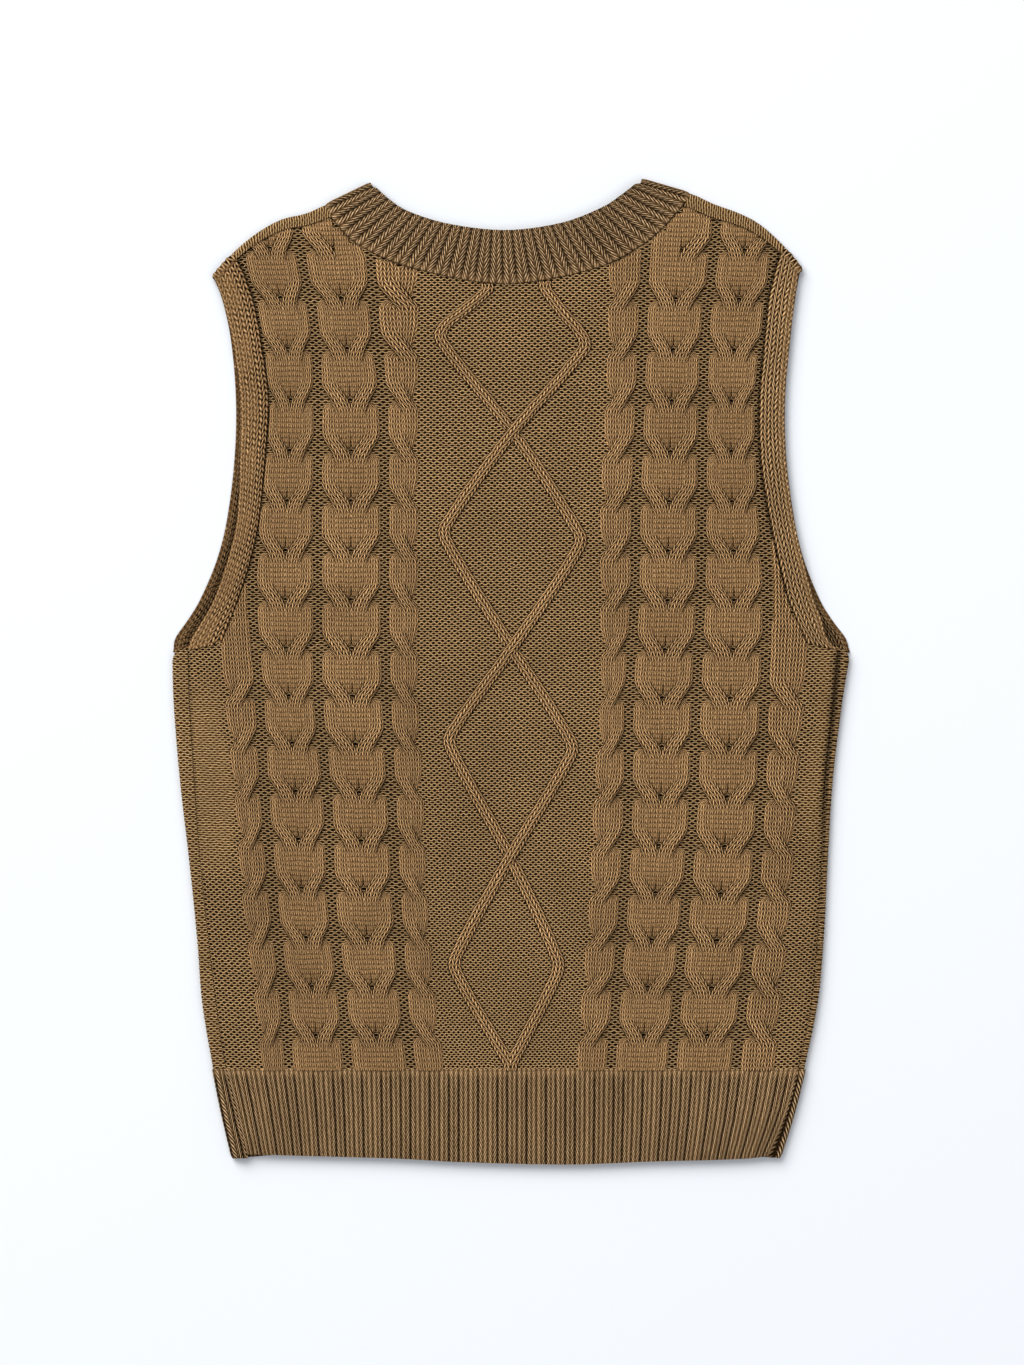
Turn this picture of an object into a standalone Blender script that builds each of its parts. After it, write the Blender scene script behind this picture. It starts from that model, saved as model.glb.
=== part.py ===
"""Knitted sweater vest, laid flat on a table with its back up.

Every piece of cloth is worked out as a mid-surface and given its wall. The front lies on the table, turns
up round both sides and over both shoulders, and meets the back at the side and shoulder seams, which
therefore show on top. Lengths are in millimetres until a mesh is made. +X is to the right as seen from
above, +Y is towards the neck and +Z is up; left and right are as seen from above.
"""

import math
from collections import namedtuple

import bpy
from mathutils import Vector
from mathutils.geometry import delaunay_2d_cdt

# Cloth
MM = 0.001
WALL = 3.0  # thickness of the knitted wall
SEAM_GAP = 0.3  # space between two pieces at a seam
LAYER_GAP = 0.9  # air between the front and the back
FOLD_RADIUS = (WALL + LAYER_GAP) / 2
CREST_TO_MIDDLE = FOLD_RADIUS + WALL / 2
LOWER = WALL / 2  # height of the middle of the front's wall
UPPER = LOWER + 2 * FOLD_RADIUS  # height of the middle of the back's wall

# Main sizes
HEM_TOP = -257.0  # where the hem ribs end and the panels begin
UNDERARM = 14.0
UNDERARM_STEP = 5.0  # rise of the cast-off row across the armhole edge
EDGE_TOP = 248.0  # last plain height of an armhole's edge, below the shoulder
EDGE_SEAM_TOP = 262.0
FRONT_NECK_EDGE = 237.0  # lowest point of the front neckline
FRONT_NECK_CROWDING = 0.07  # how much closer the front neckband's rows stand near the shoulders
NECKBAND_WIDTH = 34.0
SEAM_ALONG_NECK = 9.0  # length of neckband seam between the shoulder's fold and its seam
BACK_SEAM_LENGTH = 290.0  # neckband seam across the back, from fold to fold

# Mesh counts
SIDE_ROWS = 13
ARMHOLE_ROWS = 12
EDGE_COLUMNS = 2
SHOULDER_COLUMNS = 4
NECK_COLUMNS = 14
HEM_ROWS = 3
ARC_STEPS = 4
HEM_COLUMNS = 22
FIELD_STEP = 19.0  # spacing of the points inside a panel
FIELD_ROOM = 10.5  # least distance from those points to the panel's outline
SAME_POINT = 1e-4  # distance under which two points of a panel count as one
SLOPE_STEP = 0.5  # half the stretch over which a shoulder's slope is read
LEAST_REACH = 0.45  # limit on how far a sharp corner is drawn in at a seam
SHARP_EDGE = 50.0  # degrees between two facets whose edge is shown sharp

# Outline of the body below the armholes: the side folds, and how far the front turns up over the top
Side = namedtuple("Side", "height left right left_wrap right_wrap")
SIDES = (
    Side(-322.0, -184.0, 176.5, 10.0, 8.0),
    Side(-290.0, -191.5, 186.5, 9.9, 4.6),
    Side(-257.0, -198.0, 194.5, 8.6, 4.2),
    Side(-217.0, -204.5, 202.5, 9.2, 4.2),
    Side(-177.0, -207.6, 206.2, 7.6, 4.5),
    Side(-124.0, -213.0, 209.0, 7.4, 4.6),
    Side(-72.0, -219.0, 212.2, 9.5, 5.2),
    Side(-20.0, -223.2, 218.5, 10.5, 6.0),
    Side(14.0, -224.1, 224.1, 10.5, 8.6),
)

# Lower edge of the two hem ribs
Hem = namedtuple("Hem", "across back front")
HEM_EDGE = (
    Hem(-180.0, -318.0, -321.0),
    Hem(-150.0, -319.0, -318.8),
    Hem(-75.0, -321.2, -320.2),
    Hem(-35.0, -323.4, -322.4),
    Hem(37.0, -325.05, -324.0),
    Hem(90.0, -323.2, -322.2),
    Hem(155.0, -321.2, -320.2),
    Hem(175.0, -318.4, -320.5),
)

# Armholes: the back's finished edge, the inner side of its edging, and how far the front's edge shows past
Armhole = namedtuple("Armhole", "height left_edge left_seam left_peek right_edge right_seam right_peek")
ARMHOLES = (
    Armhole(14.0, -213.6, -193.0, 8.4, 215.5, 196.5, 6.6),
    Armhole(34.0, -203.6, -185.5, 9.9, 204.5, 188.0, 7.0),
    Armhole(47.0, -196.4, -180.5, 9.2, 199.7, 182.5, 3.9),
    Armhole(73.6, -187.1, -172.0, 7.3, 192.4, 175.9, 0.6),
    Armhole(100.0, -181.0, -166.5, 6.8, 186.5, 170.2, 0.0),
    Armhole(140.0, -179.0, -162.4, 3.8, 181.3, 164.0, 0.0),
    Armhole(179.0, -178.7, -160.2, 3.1, 180.4, 163.2, 0.0),
    Armhole(219.0, -184.0, -165.3, 1.2, 183.8, 166.7, 0.0),
    Armhole(246.0, -191.0, -170.6, 0.0, 187.1, 169.4, 0.0),
    Armhole(270.0, -199.0, -179.5, 0.0, 191.0, 175.0, 0.0),
)

# Shoulders, from the armhole to the neck: where the cloth folds, and how far the front comes over the top
Shoulder = namedtuple("Shoulder", "across height wrap")
LEFT_SHOULDER = (
    Shoulder(-198.3, 260.4, 4.5),
    Shoulder(-184.5, 275.8, 5.0),
    Shoulder(-168.0, 289.5, 6.0),
    Shoulder(-151.5, 298.6, 7.2),
    Shoulder(-136.0, 302.2, 8.0),
    Shoulder(-124.0, 307.6, 8.8),
    Shoulder(-109.0, 314.6, 8.8),
    Shoulder(-93.0, 322.6, 8.8),
)
RIGHT_SHOULDER = (
    Shoulder(192.8, 265.0, 4.5),
    Shoulder(181.0, 279.6, 5.0),
    Shoulder(164.0, 295.2, 7.0),
    Shoulder(150.0, 302.6, 8.0),
    Shoulder(133.0, 308.8, 9.0),
    Shoulder(119.0, 315.4, 9.2),
    Shoulder(103.0, 319.8, 9.2),
    Shoulder(86.0, 325.05, 9.2),
)
EDGE_AT_FOLD = 1  # row of a shoulder's table where its armhole edging ends
BAND_AT_FOLD = 5  # row of a shoulder's table where the neckband's seam crosses

# Back neck: the finished edge and the seam of the neckband, from left to right
Neck = namedtuple("Neck", "edge_across edge_height seam_across seam_height")
BACK_NECK = (
    Neck(-93.0, 322.6, -124.0, 307.6),
    Neck(-80.2, 311.0, -113.0, 292.0),
    Neck(-67.0, 303.0, -98.0, 279.5),
    Neck(-40.6, 295.0, -64.0, 265.6),
    Neck(-4.0, 291.0, -4.0, 255.5),
    Neck(32.0, 295.6, 56.0, 266.0),
    Neck(58.4, 305.4, 88.0, 282.5),
    Neck(72.0, 314.0, 106.0, 299.0),
    Neck(86.0, 325.05, 119.0, 315.4),
)

# Largest soft folds of the back: middle, half sizes along and across, turn from +X in degrees, rise
Swell = namedtuple("Swell", "across height half_length half_width turn rise")
SWELLS = (
    Swell(-100.0, -232.0, 105.0, 26.0, -3.0, 1.8),
    Swell(105.0, -230.0, 95.0, 24.0, 4.0, 1.5),
    Swell(-118.0, 10.0, 240.0, 62.0, 88.0, 1.2),
    Swell(115.0, 20.0, 240.0, 62.0, 92.0, 1.2),
    Swell(-170.0, -120.0, 110.0, 24.0, 97.0, 0.9),
    Swell(10.0, 150.0, 90.0, 40.0, 20.0, 0.7),
    Swell(185.0, -60.0, 90.0, 20.0, 84.0, 0.8),
)

# Finishes: base colour (linear), roughness
Finish = namedtuple("Finish", "colour roughness")
FINISHES = {
    "cable_knit": Finish((0.235, 0.145, 0.072), 0.92),
    "armhole_edging": Finish((0.245, 0.15, 0.075), 0.92),
    "neck_rib": Finish((0.215, 0.13, 0.064), 0.92),
    "hem_rib": Finish((0.205, 0.125, 0.062), 0.92),
}


def clear_scene():
    """Remove every object the file already holds."""
    for thing in list(bpy.data.objects):
        bpy.data.objects.remove(thing, do_unlink=True)


def curve_through(places, values, at):
    """Value at a place on the smooth curve through a table's values, whose places rise."""
    last = len(places) - 1
    k = max(i for i in range(last) if i == 0 or places[i] <= at)

    def slope(i):
        a, b = max(i - 1, 0), min(i + 1, last)
        return (values[b] - values[a]) / (places[b] - places[a])

    span = places[k + 1] - places[k]
    t = (at - places[k]) / span
    rise = (3 - 2 * t) * t * t
    leave = slope(k) * span * t * (1 - t) ** 2
    arrive = slope(k + 1) * span * t * t * (t - 1)
    return values[k] * (1 - rise) + values[k + 1] * rise + leave + arrive


def column(rows, key, value, at):
    """Value of one named column of a table where another column equals `at`."""
    pairs = sorted((getattr(row, key), getattr(row, value)) for row in rows)
    return curve_through([p[0] for p in pairs], [p[1] for p in pairs], at)


def mix(a, b, t):
    """Value or vector part of the way from a to b."""
    return a * (1 - t) + b * t


def flat(across, height):
    """Point of the plan."""
    return Vector((across, height, 0.0))


class Route:
    """Smooth curve through points of the plan, read by its share of length."""

    STEPS = 12

    def __init__(self, points):
        places = list(range(len(points)))
        count = self.STEPS * (len(points) - 1)
        xs = [p.x for p in points]
        ys = [p.y for p in points]
        ats = [i / self.STEPS for i in range(count + 1)]
        self.points = [flat(curve_through(places, xs, a), curve_through(places, ys, a)) for a in ats]
        self.shares = [0.0]
        for a, b in zip(self.points, self.points[1:]):
            self.shares.append(self.shares[-1] + (b - a).length)
        self.shares = [share / self.shares[-1] for share in self.shares]

    def at(self, share):
        """Point at a share of the curve's length, from 0 to 1."""
        k = max(i for i in range(len(self.shares) - 1) if i == 0 or self.shares[i] <= share)
        t = (share - self.shares[k]) / (self.shares[k + 1] - self.shares[k])
        return mix(self.points[k], self.points[k + 1], t)


# ---------------------------------------------------------------- cloth

class Spot:
    """Point of a cloth's mid-surface, with the direction in which its wall is thick."""

    def __init__(self, point, z, outward):
        self.point = Vector((point.x, point.y, z))
        self.outward = outward


def on_table(point):
    """Spot of the lower layer."""
    return Spot(point, LOWER, Vector((0, 0, -1)))


def on_top(point):
    """Spot of the upper layer."""
    return Spot(point, UPPER, Vector((0, 0, 1)))


def round_fold(crest, outward):
    """Spots round a fold, from the lower layer to the upper one, whose outermost point is the crest."""
    middle = fold_middle(crest, outward)
    spots = []
    for i in range(ARC_STEPS + 1):
        angle = math.pi * i / ARC_STEPS
        away = outward * math.sin(angle)
        turn = Vector((away.x, away.y, -math.cos(angle)))
        z = LOWER + FOLD_RADIUS * (1 - math.cos(angle))
        spots.append(Spot(middle + away * FOLD_RADIUS, z, turn))
    return spots


def fold_middle(crest, outward):
    """Point of the plan where a fold's arc begins and ends."""
    return crest - outward * CREST_TO_MIDDLE


def filled(outline):
    """Triangles that fill an outline of the plan: its own points, and a staggered field inside it."""
    xs, ys = [p.x for p in outline], [p.y for p in outline]
    field = []
    row_step = FIELD_STEP * math.sqrt(0.75)
    for j in range(1, int((max(ys) - min(ys)) / row_step)):
        for i in range(1, int((max(xs) - min(xs)) / FIELD_STEP) + 1):
            point = flat(min(xs) + (i - 0.5 * (j % 2)) * FIELD_STEP, min(ys) + j * row_step)
            if is_inside(point, outline) and room_at(point, outline) > FIELD_ROOM:
                field.append(point)
    points = outline + field
    ring = [(i, (i + 1) % len(outline)) for i in range(len(outline))]
    _, _, faces, given, _, _ = delaunay_2d_cdt([p.xy for p in points], ring, [], 1, SAME_POINT)
    return [[points[given[corner][0]] for corner in face] for face in faces]


def is_inside(point, outline):
    """Whether a point of the plan is inside an outline."""
    crossings = 0
    for a, b in zip(outline, outline[1:] + outline[:1]):
        if (a.y > point.y) != (b.y > point.y):
            crossings += point.x < a.x + (b.x - a.x) * (point.y - a.y) / (b.y - a.y)
    return crossings % 2 == 1


def room_at(point, outline):
    """Distance from a point of the plan to an outline."""
    least = math.inf
    for a, b in zip(outline, outline[1:] + outline[:1]):
        along = b - a
        t = min(1.0, max(0.0, (point - a).dot(along) / along.length_squared))
        least = min(least, (point - a - along * t).length)
    return least


class Cloth:
    """Knitted wall made from grids of spots that share their borders."""

    def __init__(self, name, finish):
        self.name = name
        self.finish = finish
        self.spots = []
        self.cells = []
        self.index = {}

    def spot_index(self, spot):
        """Number of a spot, the same for grids that meet there."""
        key = tuple(round(c, 2) for c in spot.point)
        if key not in self.index:
            self.index[key] = len(self.spots)
            self.spots.append(spot)
        return self.index[key]

    def add_grid(self, rows):
        """Take in a grid of spots, each cell wound so that it faces its outward direction."""
        numbers = [[self.spot_index(spot) for spot in row] for row in rows]
        for low, high in zip(numbers, numbers[1:]):
            for k in range(len(low) - 1):
                self.add_cell([low[k], low[k + 1], high[k + 1], high[k]])

    def add_sheet(self, outline, layer):
        """Take in a flat sheet of one layer, cut to an outline."""
        for face in filled(outline):
            self.add_cell([self.spot_index(layer(point)) for point in face])

    def add_cell(self, corners):
        """Add one cell, without the corners that fall together."""
        corners = [c for i, c in enumerate(corners) if c != corners[i - 1]]
        if len(corners) < 3:
            return
        points = [self.spots[c].point for c in corners]
        facing = (points[1] - points[0]).cross(points[-1] - points[0])
        outward = sum((self.spots[c].outward for c in corners), Vector())
        self.cells.append(corners if facing.dot(outward) > 0 else corners[::-1])

    def rim_edges(self):
        """Directed edges that only one cell has."""
        edges = [(c[i - 1], c[i]) for c in self.cells for i in range(len(c))]
        known = set(edges)
        return [(a, b) for a, b in edges if (b, a) not in known]

    def lift(self, rise):
        """Raise the spots that are not on the rim."""
        held = {end for edge in self.rim_edges() for end in edge}
        for number, spot in enumerate(self.spots):
            if number not in held:
                spot.point.z += rise(spot.point)

    def draw_in(self, rim):
        """Move the rim inwards by half a seam's gap."""
        shift = {}
        for a, b in rim:
            along = (self.spots[b].point - self.spots[a].point).normalized()
            for end in (a, b):
                inward = self.spots[end].outward.cross(along).normalized()
                shift.setdefault(end, []).append(inward)
        for end, ways in shift.items():
            middle = sum(ways, Vector()).normalized()
            reach = max(LEAST_REACH, middle.dot(ways[0]))
            self.spots[end].point += middle * (SEAM_GAP / 2 / reach)

    def solid(self):
        """Make the object: both faces of the wall, joined round the rim."""
        rim = self.rim_edges()
        self.draw_in(rim)
        count = len(self.spots)
        outer = [(s.point + s.outward * (WALL / 2)) * MM for s in self.spots]
        inner = [(s.point - s.outward * (WALL / 2)) * MM for s in self.spots]
        faces = [list(cell) for cell in self.cells]
        faces += [[corner + count for corner in reversed(cell)] for cell in self.cells]
        faces += [[b, a, a + count, b + count] for a, b in rim]
        mesh = bpy.data.meshes.new(self.name)
        mesh.from_pydata(outer + inner, [], faces)
        mesh.materials.append(material(self.finish))
        mesh.shade_smooth()
        mesh.set_sharp_from_angle(angle=math.radians(SHARP_EDGE))
        bpy.context.scene.collection.objects.link(bpy.data.objects.new(self.name, mesh))


def material(name):
    """The knit's material, made once."""
    known = bpy.data.materials.get(name)
    if known:
        return known
    finish = FINISHES[name]
    made = bpy.data.materials.new(name)
    made.use_nodes = True
    shader = made.node_tree.nodes["Principled BSDF"]
    shader.inputs["Base Color"].default_value = (*finish.colour, 1.0)
    shader.inputs["Roughness"].default_value = finish.roughness
    shader.inputs["Metallic"].default_value = 0.0
    made.diffuse_color = (*finish.colour, 1.0)
    return made


# ---------------------------------------------------------------- outlines

class SideOutline:
    """One side of the vest, left or right: its fold, side seam, armhole and shoulder."""

    def __init__(self, name):
        self.name = name
        self.out = Vector((-1.0 if name == "left" else 1.0, 0, 0))
        self.shoulder = LEFT_SHOULDER if name == "left" else RIGHT_SHOULDER
        rows = list(range(SIDE_ROWS + 1))
        self.body_heights = [mix(HEM_TOP, UNDERARM, i / SIDE_ROWS) for i in rows]
        self.armhole_shares = [i / ARMHOLE_ROWS for i in range(ARMHOLE_ROWS)]

    def crest(self, height):
        """Outermost point of the side fold."""
        return flat(column(SIDES, "height", self.name, height), height)

    def fold_start(self, height):
        """Point of the plan where the side fold's arc begins."""
        return fold_middle(self.crest(height), self.out)

    def seam(self, height):
        """Point of the side seam, on top."""
        wrap = column(SIDES, "height", self.name + "_wrap", height)
        return self.crest(height) - self.out * wrap

    def wrap_rows(self, heights):
        """Grid of the front's turned-up strip, a row for each height."""
        return [round_fold(self.crest(y), self.out) + [on_top(self.seam(y))] for y in heights]

    def fold_at(self, across):
        """Crest of the shoulder's fold and its outward direction."""
        before, height, after = [
            column(self.shoulder, "across", "height", across + off) for off in (-SLOPE_STEP, 0.0, SLOPE_STEP)
        ]
        outward = Vector((before - after, 2 * SLOPE_STEP, 0)).normalized()
        return flat(across, height), outward

    def fold_end(self, row):
        """Crest and outward direction at one end of the shoulder, square to the fold's last stretch."""
        here, other = self.shoulder[row], self.shoulder[1 if row == 0 else -2]
        along = flat(here.across - other.across, here.height - other.height).normalized()
        outward = Vector((-along.y, along.x, 0))
        if outward.y < 0:
            outward.negate()
        return flat(here.across, here.height), outward

    def shoulder_folds(self):
        """Crests and directions across the panels, from the armhole's edging to the neckband."""
        start = self.shoulder[EDGE_AT_FOLD].across
        end = self.shoulder[BAND_AT_FOLD].across
        return [self.fold_at(mix(start, end, i / SHOULDER_COLUMNS)) for i in range(SHOULDER_COLUMNS + 1)]

    def shoulder_seam(self, crest, outward):
        """Point of the shoulder seam, on top."""
        wrap = column(self.shoulder, "across", "wrap", crest.x)
        return crest - outward * wrap

    def armhole_edge(self, share, front):
        """Point of the finished armhole edge, from the underarm (0) to the shoulder (1)."""
        height = mix(UNDERARM, EDGE_TOP, share)
        edge = column(ARMHOLES, "height", self.name + "_edge", height)
        peek = column(ARMHOLES, "height", self.name + "_peek", height) if front else 0.0
        if share == 0:
            return self.fold_start(UNDERARM) if front else self.seam(UNDERARM)
        return flat(edge, height) + self.out * peek

    def armhole_seam(self, share, front):
        """Point of the inner side of the armhole's edging."""
        height = mix(UNDERARM + UNDERARM_STEP, EDGE_SEAM_TOP, share)
        seam = column(ARMHOLES, "height", self.name + "_seam", height)
        peek = column(ARMHOLES, "height", self.name + "_peek", height) if front else 0.0
        return flat(seam, height) + self.out * peek

    def body_side(self, front):
        """Side boundary of a panel in one layer, from the hem rib to the underarm."""
        side = self.fold_start if front else self.seam
        return [side(height) for height in self.body_heights]

    def chest_side(self, front):
        """Side boundary of a panel in one layer, up the armhole to the shoulder."""
        points = [self.armhole_seam(share, front) for share in self.armhole_shares]
        crest, outward = self.fold_at(self.shoulder[EDGE_AT_FOLD].across)
        points.append(fold_middle(crest, outward) if front else self.shoulder_seam(crest, outward))
        return points

    def edging_rows(self, front):
        """Plan points across the armhole's edging, row by row up to the shoulder."""
        rows = []
        for share in self.armhole_shares:
            edge, seam = self.armhole_edge(share, front), self.armhole_seam(share, front)
            rows.append([mix(edge, seam, i / EDGE_COLUMNS) for i in range(EDGE_COLUMNS + 1)])
        return rows

    def edging_folds(self):
        """Crests and directions across the armhole's edging at the shoulder."""
        tip, tip_out = self.fold_end(0)
        end, end_out = self.fold_at(self.shoulder[EDGE_AT_FOLD].across)
        shares = [i / EDGE_COLUMNS for i in range(EDGE_COLUMNS + 1)]
        return [(mix(tip, end, t), mix(tip_out, end_out, t).normalized()) for t in shares]


class NeckOutline:
    """Edge and seam of the neckband, behind and in front."""

    def __init__(self, left, right):
        self.sides = (left, right)
        self.back_edge = Route([flat(n.edge_across, n.edge_height) for n in BACK_NECK])
        self.back_seam = Route([flat(n.seam_across, n.seam_height) for n in BACK_NECK])
        start = SEAM_ALONG_NECK / BACK_SEAM_LENGTH
        self.shares = [mix(start, 1 - start, i / NECK_COLUMNS) for i in range(NECK_COLUMNS + 1)]

    def folds(self, side):
        """Crest and direction at the edge and at the seam, where the band turns over the shoulder."""
        edge = side.fold_end(-1)
        seam = side.fold_at(side.shoulder[BAND_AT_FOLD].across)
        return edge, seam

    def front_point(self, share, at_seam):
        """Point of the front neckline: half an oval hung between the two shoulder folds."""
        which = 1 if at_seam else 0
        ends = [fold_middle(*self.folds(side)[which]) for side in self.sides]
        lowest = FRONT_NECK_EDGE - (NECKBAND_WIDTH if at_seam else 0.0)
        angle = math.pi * (share - FRONT_NECK_CROWDING * math.sin(2 * math.pi * share))
        across = mix(ends[0].x, ends[1].x, (1 - math.cos(angle)) / 2)
        level = mix(ends[0].y, ends[1].y, share)
        return flat(across, mix(level, lowest, math.sin(angle)))


def swell(point):
    """Rise of the back's soft folds at a point of the plan."""
    rise = 0.0
    for fold in SWELLS:
        turn = math.radians(fold.turn)
        off = point - flat(fold.across, fold.height)
        along = off.x * math.cos(turn) + off.y * math.sin(turn)
        across = off.y * math.cos(turn) - off.x * math.sin(turn)
        far = min(1.0, math.hypot(along / fold.half_length, across / fold.half_width))
        rise += fold.rise * (1 + math.cos(math.pi * far)) / 2
    return rise


# ---------------------------------------------------------------- pieces

def panel_top(left, right, neck, front):
    """Upper boundary of a panel in one layer: shoulder, neck, shoulder."""
    ends = []
    for side in (left, right):
        folds = side.shoulder_folds()
        ends.append([fold_middle(*fold) if front else side.shoulder_seam(*fold) for fold in folds])
    if front:
        middle = [neck.front_point(share, True) for share in neck.shares[1:-1]]
        return ends[0] + middle + ends[1][::-1]
    middle = [neck.back_seam.at(share) for share in neck.shares]
    return ends[0][:-1] + middle + ends[1][-2::-1]


def panel_outline(left, right, neck, front):
    """Outline of a panel in one layer, round from the left end of the hem rib."""
    sides = []
    for side in (left, right):
        corner, inner = side.body_side(front)[-1], side.armhole_seam(0, front)
        cast_off = [mix(corner, inner, i / EDGE_COLUMNS) for i in range(1, EDGE_COLUMNS)]
        sides.append(side.body_side(front) + cast_off + side.chest_side(front))
    hem = even_line(sides[0][0], sides[1][0])
    top = panel_top(left, right, neck, front)
    return hem[:-1] + sides[1][:-1] + top[:0:-1] + sides[0][:0:-1]


def even_line(a, b):
    """Evenly spaced columns of the line between the hem ribs and the panels."""
    return [mix(a, b, i / HEM_COLUMNS) for i in range(HEM_COLUMNS + 1)]


def make_back(left, right, neck):
    """The back: one panel on top, with its soft folds."""
    cloth = Cloth("back_panel", "cable_knit")
    cloth.add_sheet(panel_outline(left, right, neck, front=False), on_top)
    cloth.lift(swell)
    cloth.solid()


def make_front(left, right, neck):
    """The front: a panel on the table, turned up at the sides and over the shoulders."""
    cloth = Cloth("front_panel", "cable_knit")
    cloth.add_sheet(panel_outline(left, right, neck, front=True), on_table)
    for side in (left, right):
        cloth.add_grid(side.wrap_rows(side.body_heights))
        strip = [round_fold(*fold) + [on_top(side.shoulder_seam(*fold))] for fold in side.shoulder_folds()]
        strip[-1][-1] = on_top(neck.back_seam.at(neck.shares[0 if side is left else -1]))
        cloth.add_grid(strip)
    cloth.solid()


def make_back_hem(left, right):
    """The back's hem rib."""
    cloth = Cloth("hem_rib_back", "hem_rib")
    rows = hem_rows(left.seam, right.seam, "back")
    cloth.add_grid([[on_top(point) for point in row] for row in rows])
    cloth.solid()


def make_front_hem(left, right):
    """The front's hem rib, turned up round both sides."""
    cloth = Cloth("hem_rib_front", "hem_rib")
    rows = hem_rows(left.fold_start, right.fold_start, "front")
    cloth.add_grid([[on_table(point) for point in row] for row in rows])
    cloth.add_grid(left.wrap_rows(hem_heights(HEM_EDGE[0].front)))
    cloth.add_grid(right.wrap_rows(hem_heights(HEM_EDGE[-1].front)))
    cloth.solid()


def hem_heights(foot):
    """Heights of the rows at one end of a hem rib, from its lower corner up."""
    return [mix(foot, HEM_TOP, j / HEM_ROWS) for j in range(HEM_ROWS + 1)]


def hem_rows(left_side, right_side, layer):
    """Rows of plan points of a hem rib, whose lower edge follows its column of the table."""
    ends = hem_heights(getattr(HEM_EDGE[0], layer)), hem_heights(getattr(HEM_EDGE[-1], layer))
    foot = even_line(left_side(ends[0][0]), right_side(ends[1][0]))
    dips = [column(HEM_EDGE, "across", layer, point.x) - point.y for point in foot]
    dips[0] = dips[-1] = 0.0
    rows = []
    for j, (height_left, height_right) in enumerate(zip(*ends)):
        row = even_line(left_side(height_left), right_side(height_right))
        for point, dip in zip(row, dips):
            point.y += dip * (1 - j / HEM_ROWS)
        rows.append(row)
    return rows


def make_edging(side, front):
    """One armhole's edging on one panel; the front's turns over the shoulder to the seam."""
    name = "armhole_edge_{}_{}".format("front" if front else "back", side.name)
    cloth = Cloth(name, "armhole_edging")
    layer = on_table if front else on_top
    folds = side.edging_folds()
    seam = [side.shoulder_seam(*fold) for fold in folds]
    rows = [[layer(point) for point in row] for row in side.edging_rows(front)]
    if front:
        arcs = [round_fold(*fold) for fold in folds]
        rows += [[arc[k] for arc in arcs] for k in range(ARC_STEPS + 1)]
    rows.append([on_top(point) for point in seam])
    cloth.add_grid(rows)
    cloth.solid()


def make_neckband(neck):
    """The neckband: a ring of rib across the back neck, over both shoulders and down the front neck."""
    cloth = Cloth("neckband", "neck_rib")
    left_turn, right_turn = [band_turn(*neck.folds(side)) for side in neck.sides]
    behind = [band_row(on_top, neck.back_edge.at(s), neck.back_seam.at(s)) for s in neck.shares]
    cloth.add_grid([left_turn[-1]] + behind + [right_turn[-1]])
    before = [
        band_row(on_table, neck.front_point(s, False), neck.front_point(s, True)) for s in neck.shares[1:-1]
    ]
    cloth.add_grid([left_turn[0]] + before + [right_turn[0]])
    cloth.add_grid(left_turn)
    cloth.add_grid(right_turn)
    cloth.solid()


def band_row(layer, edge, seam):
    """Three spots across the neckband."""
    return [layer(point) for point in (edge, (edge + seam) / 2, seam)]


def band_turn(edge_fold, seam_fold):
    """Rows of spots across the neckband, round its turn over a shoulder."""
    rows = []
    for edge, seam in zip(round_fold(*edge_fold), round_fold(*seam_fold)):
        middle = (edge.point + seam.point) / 2
        outward = (edge.outward + seam.outward).normalized()
        rows.append([edge, Spot(middle, middle.z, outward), seam])
    return rows


def main():
    """Build the vest."""
    clear_scene()
    left, right = SideOutline("left"), SideOutline("right")
    neck = NeckOutline(left, right)
    make_front(left, right, neck)
    make_back(left, right, neck)
    make_front_hem(left, right)
    make_back_hem(left, right)
    for side in (left, right):
        make_edging(side, front=True)
        make_edging(side, front=False)
    make_neckband(neck)


main()
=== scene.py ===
"""Knitted sweater vest, laid flat with its back up: its packed cloth dressed with the real knitting.

The plan is in millimetres, +X to the right as seen from above, +Y towards the neck, +Z up, and becomes
metres when a mesh is made. Left and right are as seen from above. Every piece follows the cloth of its
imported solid. Stitches are counted across in wales and along in courses, and each mesh carries that count as
its UV map, so that the yarn drawn by the materials follows the knitting.
"""

from __future__ import annotations

import logging
import math
from dataclasses import dataclass
from enum import Enum
from functools import partial, reduce
from typing import Any, Callable, Sequence

import bpy
import numpy as np
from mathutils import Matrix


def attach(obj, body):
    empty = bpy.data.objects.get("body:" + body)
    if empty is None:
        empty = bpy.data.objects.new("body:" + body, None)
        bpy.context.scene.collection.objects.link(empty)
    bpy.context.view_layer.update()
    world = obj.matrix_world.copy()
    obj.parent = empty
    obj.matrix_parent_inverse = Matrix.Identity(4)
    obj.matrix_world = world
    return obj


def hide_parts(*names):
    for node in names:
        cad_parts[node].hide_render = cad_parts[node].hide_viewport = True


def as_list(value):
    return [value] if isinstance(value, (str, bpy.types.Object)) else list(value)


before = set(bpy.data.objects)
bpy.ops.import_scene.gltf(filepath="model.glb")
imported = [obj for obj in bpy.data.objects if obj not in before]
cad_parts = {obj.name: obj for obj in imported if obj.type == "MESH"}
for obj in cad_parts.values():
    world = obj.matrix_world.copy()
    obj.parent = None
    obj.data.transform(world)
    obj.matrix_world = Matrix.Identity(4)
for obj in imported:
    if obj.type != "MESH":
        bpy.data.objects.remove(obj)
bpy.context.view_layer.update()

Array = np.ndarray
Piece = bpy.types.Object
Pair = tuple[float, float]
Built = tuple[list[Piece], float]  # a sheet and what is knitted on it, the sheet first, and its flat area
Drawn = tuple[Any, Any, Any]  # sockets with a stitch's painted shade, its painted highlight and the count along its thread
log = logging.getLogger("vest")

# ---------------- sizes

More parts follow.
